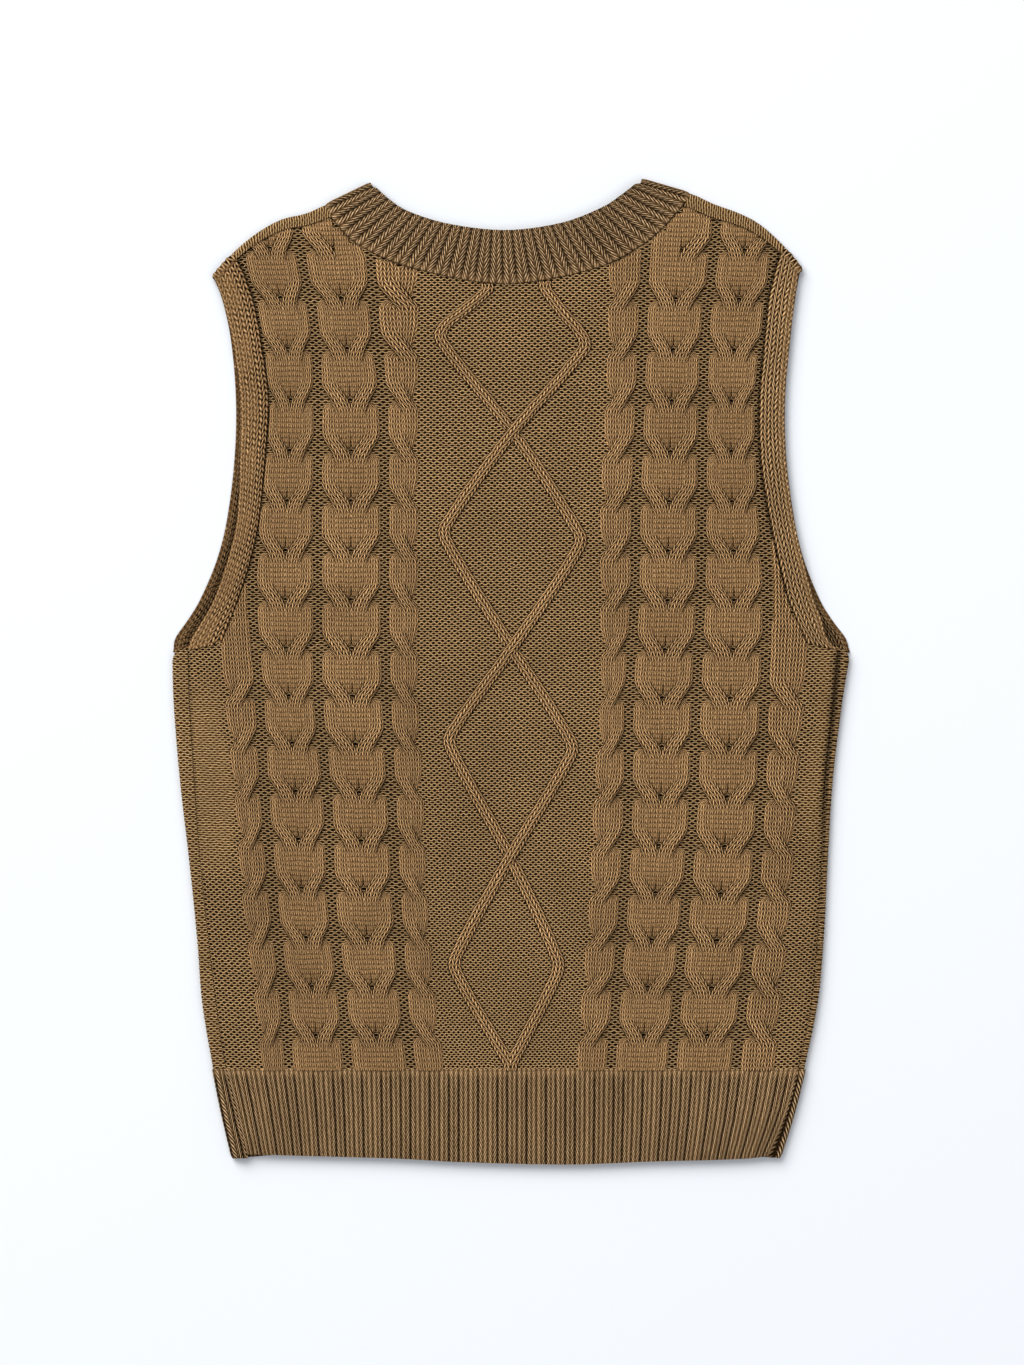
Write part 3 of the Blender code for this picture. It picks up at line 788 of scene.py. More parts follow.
        # how far each point's stitches lie closed, and its painted shade, negative where a highlight is painted
        slack, painted_shade = (node("Attribute", attribute_name=key).node.outputs["Fac"] for key in ("slack", "painted_shade"))
        place = node("TexCoord").node.outputs["Object"]

        stray = node("TexNoise", place, None, self.stray_cells, 1.0).node.outputs["Color"]
        stray = node("VectorMath SUBTRACT", stray, (0.5, 0.5, 0.5))
        stray = node("VectorMath MULTIPLY", stray, (self.stray, 0.5, 0.0))
        count = node("SeparateXYZ", node("VectorMath ADD", node("UVMap", uv_map="UVMap"), stray)).node
        across, along = count.outputs["X"], count.outputs["Y"]
        draw = self.purl if self.stitch is Stitch.PURL else self.knit
        dark, light, thread = draw(node, across, along, slack, node("Math SUBTRACT", 1.0, slack))

        # plies, dye and hair change the yarn's tone; painted shade darkens the colour toward the gap's shade
        # colour, and negative painted shade is a painted highlight that raises the tone
        ply = node("VectorMath MULTIPLY", node("CombineXYZ", across, thread, 0.0), (2.0, 4.0, 1.0))
        ply = node("TexNoise", ply, None, 1.0, 2.0, 0.6)
        tone = node("MapRange", ply, 0.3, 0.7, 0.72, 1.28)
        for cells, roughness, low, high in ((self.broad_cells, 0.5, 0.9, 1.1), (self.fuzz_cells, 0.7, 0.7, 1.3)):
            noise = node("TexNoise", place, None, cells, 2.0, roughness)
            tone = node("Math MULTIPLY", tone, node("MapRange", noise, 0.3, 0.7, low, high))
        tone = node("Math MULTIPLY", tone, node("MapRange", painted_shade, -1.0, 0.0, 1.5, 1.0))
        body = node("MixRGB", light, linear(self.body), linear(self.light))
        body = node("VectorMath SCALE", body, sockets={"Scale": tone})
        # share of the painted shade colour: the stitches' painted shade in their gaps plus each point's painted
        # shade
        gaps = node("Math ADD", painted_shade, dark, use_clamp=True)
        rise = node("Math SUBTRACT", light, dark)
        rise = node("Math ADD", rise, node("Math MULTIPLY", ply, 0.5))
        bump = node("Bump", sockets={"Strength": 0.9, "Distance": self.relief * MM, "Height": rise})
        shader = node("BsdfPrincipled", sockets={
            "Base Color": node("MixRGB", gaps, body, linear(self.gap_shade)),
            "Roughness": 0.9, "Specular IOR Level": 0.05, "Normal": bump,
        })
        node("OutputMaterial", shader)
        return made

    def dress(self, piece: Piece) -> Piece:
        """Shade a piece smooth and give it this finish.

        Args:
            piece: The piece.

        Returns:
            The same piece.
        """
        select_only(piece)
        bpy.ops.object.shade_smooth_by_angle(angle=math.radians(SMOOTH_UNDER))
        piece.data.materials.clear()
        piece.data.materials.append(self.material())
        return piece


# reverse of plain knitting: rows of light bumps over small dark holes, the dullest and most open cloth
PURL_GROUND = Yarn("purl_cotton_blend", Stitch.PURL, light="#eec38a")
# raised strands: long light legs that lean together, with dark slits where a strand turns down
CABLE_KNIT = Yarn("cabled_cotton_blend", Stitch.KNIT, body="#593a16", light="#e4b680", seam_dark=0.64)
# plain knitting of an edge: columns of open, even V's
EDGE_KNIT = Yarn("stockinette_cotton_blend", Stitch.KNIT, body="#61421f")
# the same where it lies closed: flatter V's that hardly show their gaps
EDGE_CLOSED = Yarn("closed_stockinette_cotton_blend", Stitch.KNIT, body="#61421f", light="#d2a877", leg_rise=0.9,
                   seam_dark=0.35)
# one by one rib: light crests of steep V's beside dark valleys crossed by rungs
HEM_RIB = Yarn("ribbed_hem_cotton_blend", Stitch.RIB, body="#684a27", light="#e9bf8c", leg_rise=2.6, stray=0.12)
NECK_RIB = Yarn("ribbed_neck_cotton_blend", Stitch.RIB, body="#644622", light="#e9bf8e", leg_rise=2.6,
                stray=0.12, valley=(0.36, 0.64), rungs=(0.25, 0.75))


# ---------------- sheets of knitting

def shell(name: str, middle: Array, relief: Array, stitches: Array, yarn: Yarn, ring: bool = False,
          painted_shade: Array | float = 0.0, slack: Array | float = 0.0) -> Piece:
    """Model a knitted shell on the middle surface of its packed wall.

    Args:
        name: Name of the piece.
        middle: Rows of columns of points of the wall's middle.
        relief: How far the stitches stand above the skin, for each point.
        stitches: Wale and course of each point.
        yarn: Finish.
        ring: Whether the last column falls on the first.
        painted_shade: Painted shade of each point, negative where a highlight is painted.
        slack: How far the stitches lie closed at each point.

    Returns:
        The finished piece.
    """
    outer = middle + normals(middle, ring) * (SKIN + relief)[..., None]
    piece = grid_piece(name, outer, stitches, {"painted_shade": painted_shade, "slack": slack})
    if ring:
        merge(piece, DOUBLES)
    apply(piece, "SOLIDIFY", thickness=CLOTH * MM, offset=-1.0, use_quality_normals=True)
    return yarn.dress(piece)


class Sheet:
    """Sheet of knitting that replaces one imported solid."""

    slot: str
    node: str
    flat: Pair

    def build(self) -> Built:
        """Model and dress the sheet and what is knitted on it, the sheet first, and find its flat area."""
        raise NotImplementedError

    def lay(self, rests_on: Piece | str) -> Piece:
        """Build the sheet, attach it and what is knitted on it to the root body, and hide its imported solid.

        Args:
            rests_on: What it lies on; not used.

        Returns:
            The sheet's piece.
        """
        (piece, *knitted), area = self.build()
        for part in (piece, *knitted):
            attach(part, "root")
        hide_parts(self.node)
        width, length = (round(side * MM, 4) for side in self.flat)
        round(min(area, width * length), 5)
        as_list(knitted)
        log.info("%s: %d faces, %.3f m2", piece.name, len(piece.data.polygons), area)
        return piece


def panel_plan(layer: Layer, column_step: float, row_step: float) -> Array:
    """Plan of one layer's panel from the hem rib to the shoulders and the neckband.

    Args:
        layer: Layer of the cloth.
        column_step: Spacing of the columns across the underarms.
        row_step: Spacing of the rows.

    Returns:
        Rows of columns of points of the plan, the columns from left to right.
    """
    start = UNDERARM + UNDERARM_STEP
    low = np.linspace(HEM_TOP, UNDERARM, round((UNDERARM - HEM_TOP) / row_step) + 1)
    high = np.linspace(start, BEND_FROM, round((BEND_FROM - start) / row_step) + 1)
    above = np.linspace(BEND_FROM, EDGE_SEAM_TOP, 60)
    count = round((EDGE_SEAM_TOP - BEND_FROM) / row_step)
    sides, lines, tops = [], [], []
    for flank in FLANKS:
        hole, line = (stacked(flank.armhole(levels, "seam", layer), levels) for levels in (high, above))
        sides.append(np.concatenate([stacked(flank.side(low, layer), low), hole]))
        corner = flank.beside_fold(*flank.corner(EDGING_ROWS["seam"]), layer)
        lines.append(evenly(np.concatenate([line, corner]), count + 1)[1:, None])
        ends = (flank.shoulder.rows[rows["seam"]][0] for rows in (EDGING_ROWS, BAND_ROWS))
        tops.append(flank.beside_fold(*flank.fold(np.linspace(*ends, 20)), layer))
    columns = round((sides[1][:, 0].max() - sides[0][:, 0].min()) / column_step) + 1
    across = np.linspace(0, 1, columns)[:, None]
    even = mix(sides[0][:, None], sides[1][:, None], across)
    foot, top = even[-1], np.concatenate([tops[0], neckline(layer, "seam", 80)[1:-1], tops[1][::-1]])
    top = evenly(top, columns)
    up = np.linspace(0, 1, count + 1)[1:, None, None]
    bent = mix(foot, top, up) + mix(*lines, across)
    bent -= mix(mix(foot[0], foot[-1], across), mix(top[0], top[-1], across), up)
    return np.concatenate([even, bent])


@dataclass
class BackPanel(Sheet):
    """The back: a purl ground that carries the cables and the lattice."""

    slot: str = "cable_knit"
    node: str = "back_panel"
    flat: Pair = (427.0, 558.0)
    step: float = 2.8  # spacing of the mesh's rows and columns
    top_steps: Pair = (2.0, 4.0)  # and of the columns and rows that the upper boundary is read from
    swell_rim: float = 12.0  # width of the rim where the soft folds fade
    rim_dip: float = 0.9  # how far the cloth sinks into its seams
    rim_width: float = 4.0
    seam_width: float = 3.0  # width of the shade along the seams
    seam_shade: float = 0.12  # painted shade of the seams
    armhole_shade: float = 0.68  # what they gain beside the armholes
    neck_light: float = 0.55  # and lose beside the neckband
    fold_shades: Pair = (0.9, 0.45)  # painted shadow beside the right fold and the left one
    fold_widths: Pair = (4.2, 2.6)
    strips: tuple[tuple[float, ...], ...] = (  # stretched strips, left and right: width, middle, half length
        (20.0, -70.0, 75.0), (9.0, -40.0, 100.0),
    )
    strip_slack: float = 0.55
    strip_less: float = 0.35  # how much less closed the right one lies, as a share
    middle_shade: float = 0.2  # painted shade under the middle of a double cable
    gutter_shade: float = 0.24
    gutter_slack: float = 0.45
    plain_shade: float = 0.16  # darkness of the smooth strips, as a share of their slack

    def build(self) -> Built:
        """Model and dress the ground, the cables and the lattice.

        Returns:
            The ground and what is knitted on it, and the ground's area.
        """
        plan = panel_plan(Layer.BACK, self.step, self.step)
        x, y = plan[..., 0], plan[..., 1]
        seams = np.concatenate([plan[-1], plan[:, 0], plan[:, -1]])
        rim = reduce(np.minimum, (np.hypot(x - point[0], y - point[1]) for point in seams[::2]))
        rim[-1] = rim[:, 0] = rim[:, -1] = 0.0
        middle = stacked(x, y, UPPER + swell(x, y) * ramp(rim, 0.0, self.swell_rim))
        relief = -self.rim_dip * ramp(rim, self.rim_width, 0.0)
        painted_shade, slack = self.shades(x, y, rim)
        stitches = stacked(CHART.wale(x, y), -CHART.course(x, y))
        ground = shell("back_ground", middle, relief, stitches, PURL_GROUND, painted_shade=painted_shade, slack=slack)
        top = panel_plan(Layer.BACK, *self.top_steps)[-1]
        top = top[np.argsort(top[:, 0])].T
        return [ground, *(knitted.build(top) for knitted in (*CABLES, Lattice()))], area_of(middle)

    def shades(self, x: Array, y: Array, rim: Array) -> tuple[Array, Array]:
        """Paint shade into the cloth in its seams and beside the cables, and smooth it where it lies stretched.

        Args:
            x: Places across.
            y: Heights in the plan.
            rim: Distances from the seams.

        Returns:
            The painted shade of each point, and how far its stitches lie closed.
        """
        # painted shade of the seams, darkest at the armholes, and painted shadow wide beside the right fold
        by_neck = ramp(y, 225.0, 235.0) * ramp(np.abs(x + 5.0), 126.0, 118.0)
        dark = self.seam_shade + self.armhole_shade * ramp(y, 40.0, 65.0) - self.neck_light * by_neck
        dark = dark * ramp(rim, self.seam_width, 0.0)
        by_fold = ramp(y, UNDERARM, UNDERARM - 3.0) * ramp(rim, np.where(x > 0, *self.fold_widths), 1.0)
        by_fold = np.where(x > 0, *self.fold_shades) * by_fold * (0.15 + 0.85 * ramp(y, -130.0, -70.0))
        # strips beside the side seams, stretched until they show no holes
        strip = np.zeros(x.shape)
        uneven = 3.0 * np.sin(y / 17.0) + 1.0 * np.sin(y / 4.7)
        for flank, (width, middle, reach) in zip(FLANKS, self.strips):
            inward = (flank.side(y, Layer.BACK) - x) * flank.hand.out - uneven
            near = ramp(np.abs(y - middle), reach, reach / 2)
            strip = np.maximum(strip, ramp(inward, width + 7.0, width) * near)
        slack = self.strip_slack * strip * (1 - self.strip_less * ramp(x, 0.0, 10.0))
        dark = np.maximum(np.maximum(dark, by_fold), self.plain_shade * slack)
        # painted shade in the gutters and under the middles of the double cables; the gutters' threads lie
        # smoother where they widen
        for name in GUTTERS:
            off = np.abs(x - COLUMNS.read(name, y))
            dark = np.maximum(dark, self.gutter_shade * (off < GUTTER_REACH))
            wide = ramp(off, 2.0, 4.0) * (off < GUTTER_REACH) * CHART.waist(x, y)
            slack = np.maximum(slack, self.gutter_slack * wide)
        for cable in CABLES:
            if len(cable.leans) > 1:
                off = np.abs(x - sum(COLUMNS.read(name, y) for name in cable.sides) / 2)
                dark = np.maximum(dark, self.middle_shade * ramp(off, 2.8, 0.8))
        return dark, slack


# ---------------- cables and lattice

def ribbon(points: Array, stitches: Array, painted_shade: Array, slack: Array | float) -> Piece:
    """Model a strand as a ribbon closed with upright sides, underneath and at its ends.

    Args:
        points: Rows of columns of points of its skin.
        stitches: Wale and course of each point.
        painted_shade: Painted shade of each point, negative where a highlight is painted.
        slack: How far its stitches lie closed.

    Returns:
        The strand.
    """
    feet = points[:, [-1, 0]]
    feet[..., 2] = np.minimum(feet[..., 2], UPPER + SKIN + swell(feet[..., 0], feet[..., 1]) - FOOT) - 0.1
    round_it = [*range(points.shape[1]), -1, 0, 0]
    painted_shade, slack = (np.broadcast_to(shade, points.shape[:2])[:, round_it] for shade in (painted_shade, slack))
    points = np.concatenate([points, feet, points[:, :1]], axis=1)
    piece = grid_piece("strand", points, stitches[:, round_it], {"painted_shade": painted_shade, "slack": slack})
    merge(piece, DOUBLES, close_ends=True)
    return piece


def nearness(off: Array) -> Array:
    """Bell of a crossing: 1 at its middle and 0 from half a unit on."""
    return np.cos(np.clip(off, -0.5, 0.5) * np.pi) ** 2


@dataclass
class Cable:
    """Cable of the back: ropes of two strands of three knit wales, which cross every ten courses."""

    name: str
    sides: tuple[str, str]  # lines of the pattern at its left and right
    leans: tuple[Lean, ...]  # lean of each rope, from left to right
    firsts: tuple[int, ...]  # first crossing of each rope
    starts: float = STRANDS_TO  # height above which the cable lies flat
    calm: float = 0.84  # how far rows show before wales between the crossings
    calm_from: Pair = (0.06, 0.3)  # where that begins and is full on a double cable, as shares of its width
    crossing_courses: float = 6.3  # length of one crossing
    lift_pace: float = 0.75  # pace at which a strand lifts, where 1 is that at which it changes sides
    base: float = 1.5  # height of the strands above the ground
    crown: float = 0.7  # rise of the cable's middle
    over: float = 1.7  # rise of the strand on top
    under: float = 0.5  # drop of the one below
    under_haste: float = 2.3  # how much faster the strand below changes sides than the one on top
    under_delay: float = 0.14  # how much later, as a share of the crossing
    pinch: float = 1.9  # how far a side beside a gutter draws in at a crossing
    pinch_outside: float = 2.8  # and a side beside plain purl
    spread: float = 0.42  # how much wider a strand is where it crosses on top
    narrowing: float = -0.1  # and below
    rolled: float = 2.0  # how far an edge beside a gutter rolls down
    tucked: float = 0.15  # how far an edge between two strands rolls down
    cross_roll: float = 0.9  # how much further both do at a crossing
    groove: float = 0.22  # depth of the grooves between wales
    rim_shade: float = 0.8  # painted shade along the rims of a strand on top
    top_light: float = 0.36  # painted highlight on its middle
    sunk_shade: float = 0.1  # painted shade of a strand below
    end_shade: Pair = (0.6, 2.0)  # painted shade at the panel's top, and from how far below
    outline: Pair = (0.08, 0.045)  # place and width of the painted highlight on the outer wale, as shares of the cable
    outline_light: float = 0.42
    lap: float = 0.2  # how far a strand laps over its neighbour
    least: float = 2.0  # width under which it ends
    end_sink: Pair = (1.4, 6.0)  # how far it sinks at the panel's top, and from how far below
    narrow_sink: Pair = (2.7, 5.0)  # how far it sinks where it runs out, and under which width
    flat_sink: Pair = (1.3, 3.0)  # how far it sinks where the cable lies flat, and within which height
    columns: int = 13
    row_step: float = 1.6

    def edges(self, y: Array) -> tuple[Array, Array]:
        """Follow the cable's sides, drawn in at its crossings.

        Args:
            y: Heights in the plan.

        Returns:
            Places of the left and the right side.
        """
        places = []
        for name, inward in zip(self.sides, (1.0, -1.0)):
            line = COLUMNS.read(name, y)
            room, pinch = (GUTTER_HALF, self.pinch) if name in GUTTERS else (0.0, self.pinch_outside)
            begun = CHART.course(line, y) > CROSSING_COURSES * (self.firsts[0] - 0.5)
            places.append(line + inward * (room + pinch * CHART.waist(line, y) * begun))
        return places[0], places[1]

    def build(self, top: Array) -> Piece:
        """Model and dress the cable below the panel's upper boundary, given as its places and heights."""
        strands = [self.strand(rope, number, top) for rope in range(len(self.leans)) for number in (0, 1)]
        return CABLE_KNIT.dress(join(strands, self.name))

    def strand(self, rope: int, number: int, top: Array) -> Piece:
        """Model one strand.

        Args:
            rope: Number of its rope.
            number: 0 for the strand that starts at the left, 1 for the other.
            top: Places and heights of the panel's upper boundary.

        Returns:
            The strand.
        """
        ropes = len(self.leans)
        levels = np.arange(STRANDS_FROM, STRANDS_TO, self.row_step)
        place, lift, bell = self.follow(rope, number, levels)
        left, right = self.edges(levels)
        low, high = self.bounds(levels)
        width = (right - left) / ropes
        centre = mix(left, right, rope / ropes) + width * (0.25 + 0.5 * place)
        half = width / 4 * (1 + np.where(lift > 0, self.spread, self.narrowing) * bell) + self.lap
        keep = (levels < np.interp(centre, *top) + 1.0) & (centre + half > low + self.least)
        keep &= centre - half < high - self.least
        last = int(np.argmin(keep)) if not keep.all() else len(levels)
        levels, place, lift, bell, left, right, low, high, centre, half = (
            a[:last, None] for a in (levels, place, lift, bell, left, right, low, high, centre, half)
        )

        s = np.linspace(-1, 1, self.columns)
        x = np.clip(centre + half * s, low, high)
        y = np.minimum(levels, np.interp(x, *top) - TOP_ROOM)
        to_top = np.interp(x, *top) - y
        share = np.clip((x - left) / (right - left), 0, 1)
        to_side = np.minimum(share, 1 - share)
        middle = 1 - (2 * share - 1) ** 2
        rim = np.abs(s) ** 5

        outer = [self.rolled if rope == end else self.tucked for end in (0, ropes - 1)]
        roll = np.where(s < 0, mix(outer[0], self.tucked, place), mix(self.tucked, outer[1], place))
        flat, end, narrow = self.flat_sink, self.end_sink, self.narrow_sink
        z = UPPER + SKIN + self.base - flat[0] * ramp(y, self.starts, self.starts + flat[1]) + swell(x, y)
        z = z + self.crown * middle + np.where(lift > 0, self.over, self.under) * lift
        z = z - (roll + self.cross_roll * bell ** 2) * rim - self.groove * np.cos(3 * np.pi * (s + 1))
        z = z - end[0] * ramp(to_top, end[1], 0.0) - narrow[0] * ramp(x[:, -1:] - x[:, :1], narrow[1], 0.0)

        sunk, raised = np.clip(-lift, 0, 1), np.clip(lift, 0, 1)
        # painted shade where a strand dives below, along the rims of one on top and at the panel's top; painted
        # highlight on the middle of one on top and on the outer wales
        painted_shade = self.sunk_shade * sunk ** 5 + self.rim_shade * raised ** 1.2 * rim
        painted_shade = painted_shade - self.top_light * raised * (1 - rim)
        painted_shade = painted_shade + self.end_shade[0] * ramp(to_top, self.end_shade[1], 0.0)
        from_outline = (to_side - self.outline[0]) / self.outline[1]
        painted_shade = painted_shade - self.outline_light * (1 - raised) * np.exp(-from_outline ** 2)
        inner = ramp(to_side, *self.calm_from) if ropes > 1 else middle
        slack = self.calm * (1 - raised) * inner - raised
        wales = ((x - centre) / half + 1) * 1.5
        return ribbon(stacked(x, y, z), stacked(wales, -CHART.course(x, y)), painted_shade, slack)

    @staticmethod
    def bounds(y: Array) -> list[Array]:
        """Places beside the panel's own sides that no strand passes.

        Args:
            y: Heights in the plan.

        Returns:
            The places at the left and at the right.
        """
        return [np.where(y < UNDERARM, flank.side(np.minimum(y, UNDERARM), Layer.BACK),
                         flank.armhole(np.maximum(y, UNDERARM), "seam", Layer.BACK)) - SIDE_ROOM * flank.hand.out
                for flank in FLANKS]

    def follow(self, rope: int, number: int, levels: Array) -> tuple[Array, Array, Array]:
        """Follow a strand down its rope.

        Args:
            rope: Number of its rope.
            number: Strand of the rope.
            levels: Heights in the plan.

        Returns:
            Its place in the rope (0 left, 1 right), its lift (1 over, -1 under) and the nearness of a crossing.
        """
        count = CHART.course(sum(self.edges(levels)) / 2, levels)
        swaps, lift, bell = np.zeros((3, len(levels)))
        for k in range(self.firsts[rope], LAST_CROSSING + 1):
            off = (count - CROSSING_COURSES * k) / self.crossing_courses
            goes_right = (k - self.firsts[rope] + number) % 2 == 0
            sign = 1.0 if goes_right == (self.leans[rope] is Lean.BACKSLASH) else -1.0
            swaps += ramp(off if sign > 0 else (off - self.under_delay) * self.under_haste, -0.5, 0.5)
            near = nearness(off * self.lift_pace)
            lift += sign * near
            bell += near
        return 1 - np.abs((swaps + number) % 2 - 1), lift, bell


PAIR = (Lean.BACKSLASH, Lean.SLASH)
CABLES = (
    Cable("back_cable_1", ("outer_left", "gutter_1"), PAIR[1:], (8,), starts=31.0, calm=0.1),
    Cable("back_cable_2", ("gutter_1", "gutter_2"), PAIR, (-1, -1)),
    Cable("back_cable_3", ("gutter_2", "gutter_3"), PAIR, (-1, 0)),
    Cable("back_cable_4", ("gutter_3", "centre_left"), PAIR[:1], (0,), calm=0.35),
    Cable("back_cable_5", ("centre_right", "gutter_4"), PAIR[1:], (0,), calm=0.35),
    Cable("back_cable_6", ("gutter_4", "gutter_5"), PAIR, (0, -1)),
    Cable("back_cable_7", ("gutter_5", "gutter_6"), PAIR, (-1, -1)),
    Cable("back_cable_8", ("gutter_6", "outer_right"), PAIR[:1], (8,), starts=31.0, calm=0.1),
)


@dataclass
class Lattice:
    """Diamond lattice of the centre panel: two cords of two knit wales that cross over each other."""

    half_width: float = 4.5
    base: float = 1.5  # height of the cords above the ground
    lift: float = 1.0  # rise of the one on top
    sink: float = 0.8  # drop of the one below, as a share of that
    crosses: tuple[float, ...] = (158.1, 15.5, -122.4)
    cross_reach: float = 12.0
    crown: float = 0.5
    roll: Pair = (1.2, 0.6)  # how far an edge rolls down, and how much further on top
    ends: Pair = (-259.0, 255.8)  # heights past which the cords run straight
    widening: float = 0.6  # how far a cord widens where it leans, as a power of its length to a row's height
    under_shade: float = 0.5  # painted shade of the one below
    rim_shade: float = 0.9
    light: float = 0.25  # painted highlight on both
    slack: float = -0.5  # more open than open, so that their gaps show
    course: float = 3.4
    columns: int = 9
    row_step: float = 1.6

    def build(self, top: Array) -> Piece:
        """Model and dress both cords below the panel's upper boundary, given as its places and heights."""
        return CABLE_KNIT.dress(join([self.cord(number, top) for number in (0, 1)], "back_lattice"))

    def cord(self, number: int, top: Array) -> Piece:
        """Model one cord.

        Args:
            number: 0 for the cord that starts at the left and below, 1 for the other.
            top: Places and heights of the panel's upper boundary.

        Returns:
            The cord.
        """
        levels = np.arange(STRANDS_FROM, STRANDS_TO, self.row_step)
        centre = CORDS[number].read("across", np.clip(levels, *self.ends))
        keep = levels < np.interp(centre, *top)
        levels, centre = levels[keep], centre[keep]
        half = self.half_width * np.hypot(1, np.gradient(centre, levels)) ** self.widening
        along = length_along(stacked(centre, levels))
        lift = np.zeros_like(levels)
        for k, cross in enumerate(self.crosses):
            sign = -self.sink if (k + number) % 2 == 0 else 1.0
            lift += sign * nearness((levels - cross) / self.cross_reach / 2)
        levels, centre, half, along, lift = (a[:, None] for a in (levels, centre, half, along, lift))
        s = np.linspace(-1, 1, self.columns)
        x = centre + half * s
        y = np.minimum(levels, np.interp(x, *top) - TOP_ROOM)
        z = UPPER + SKIN + self.base + swell(x, y) + self.lift * lift + self.crown * (1 - s ** 2)
        z = z - (self.roll[0] + self.roll[1] * np.clip(lift, 0, 1)) * s ** 4
        # painted shade on the cord below and along both rims, painted highlight over both
        painted_shade = self.under_shade * np.clip(-lift / self.sink, 0, 1) ** 4 + self.rim_shade * s ** 8 - self.light
        return ribbon(stacked(x, y, z), stacked(s + 1, -along / self.course), painted_shade, self.slack)


# ---------------- front, hems, edgings and neckband

@dataclass
class FrontPanel(Sheet):
    """The front: plain purl on the table, turned up at the sides and over the shoulders."""

    slot: str = "cable_knit"
    node: str = "front_panel"
    flat: Pair = (472.0, 573.0)
    column_step: float = 5.0
    row_step: float = 1.625
    shares: tuple[float, ...] = (0.34, 0.67, 1.0)  # places of the mesh's lines from a fold to its seam
    rounding: float = 2.2  # how far the side folds draw in under the arms
    tuck: float = 2.0  # how far a shoulder strip slips under the neckband
    ridge: float = 0.3  # rise of each course on the folds
    seam_shade: float = 0.62  # painted shadow beside the right side's seam, where the back's edge stands over the strip
    look: Pair = (0.1, 0.0)  # painted shade of the sheet, which lies under the back, and how far its stitches lie closed
    side_looks: tuple[Pair, Pair] = ((0.1, 0.25), (0.14, 0.34))  # and of the left and right strips
    shoulder_look: Pair = (0.22, 0.75)
    join_under: float = 0.4  # distance under which the points of its parts become one

    def build(self) -> Built:
        """Model and dress the front with its turned strips.

        Returns:
            The front and its area.
        """
        plan = panel_plan(Layer.FRONT, self.column_step, self.row_step)[:, ::-1]
        low = round((UNDERARM - HEM_TOP) / self.row_step) + 1
        sheet = at_height(plan, LOWER)
        levels = sheet[:low, 0, 1]
        rounding = self.rounding * ramp(levels, UNDERARM - 7.0, UNDERARM)
        parts = [(sheet, *self.look)]
        for flank, look in zip(FLANKS, self.side_looks):
            parts.append((turned_side(flank, levels, self.shares, rounding), *look))
            parts.append((self.shoulder_strip(flank, sheet[-1]), *self.shoulder_look))
        piece = join([self.skin(*part) for part in parts], "front_ground")
        merge(piece, self.join_under)
        apply(piece, "SOLIDIFY", thickness=CLOTH * MM, offset=-1.0)
        places = np.zeros(3 * len(piece.data.vertices), np.float32)
        piece.data.vertices.foreach_get("co", places)
        places[2::3] = np.maximum(places[2::3], TABLE_ROOM * MM)
        piece.data.vertices.foreach_set("co", places)
        return [PURL_GROUND.dress(piece)], sum(area_of(middle) for middle, _, _ in parts)

    def shoulder_strip(self, flank: Flank, edge: Array) -> Array:
        """Strip that turns over one shoulder.

        Args:
            flank: Side of the vest.
            edge: Top row of the sheet, whose columns the strip carries on.

        Returns:
            Points of the middle of the wall.
        """
        ends = [flank.beside_fold(*flank.corner(rows["seam"]), Layer.FRONT) for rows in (EDGING_ROWS, BAND_ROWS)]
        inside = (edge[:, 0] - ends[0][0, 0]) * (edge[:, 0] - ends[1][0, 0]) < 0
        points = np.concatenate([*ends, edge[inside][:, :2]])
        points = points[np.argsort(-points[:, 0])]
        across = points[:, 0]
        for _ in range(3):  # closes in on the crests whose folds start at the points
            start = flank.beside_fold(*flank.fold(across), Layer.FRONT)
            across = across + (points[:, 0] - start[:, 0])
        out = flank.fold(across)[1]
        crest = points + out * CREST_TO_MIDDLE
        seam = flank.beside_fold(crest, out, Layer.BACK)
        strip = turned_strip(turn_over(crest, out), seam, self.shares, axis=0)
        neck_end = 0 if flank.hand is Hand.LEFT else -1
        strip[:, neck_end, 0] -= flank.hand.out * self.tuck * np.linspace(0, 1, len(strip))
        return strip

    def skin(self, middle: Array, shade: float, slack: float) -> Piece:
        """Model one part of the front at its outer skin.

        Args:
            middle: Rows of columns of points of the wall's middle.
            shade: Painted shade of its upper half.
            slack: How far its stitches lie closed; past a half its courses lie across the fold.

        Returns:
            The part.
        """
        x, y, z = np.moveaxis(middle, -1, 0)
        count = y / COURSE
        raised = ramp(z, LOWER, LOWER + FOLD_RADIUS) * (y < UNDERARM)
        points = middle + normals(middle) * (SKIN + self.ridge * np.cos(2 * np.pi * count) * raised)[..., None]
        by_seam = ramp(np.abs(x - FLANKS[1].side(y, Layer.BACK)), 3.6, 0.8) * ((z > ON_TOP) & (y < UNDERARM))
        # painted shade of the front under the back, and painted shadow beside the right side's seam
        painted_shade = shade * (0.3 + 0.7 * ramp(y, -60.0, 10.0))
        painted_shade = painted_shade + self.seam_shade * by_seam * (0.2 + 0.8 * ramp(y, -190.0, -70.0))
        stitches = (count, x / COURSE) if slack > 0.5 else ((x + z - LOWER) / PURL_WALE, count)
        return grid_piece("front_part", points, stacked(*stitches), {"painted_shade": painted_shade, "slack": slack})


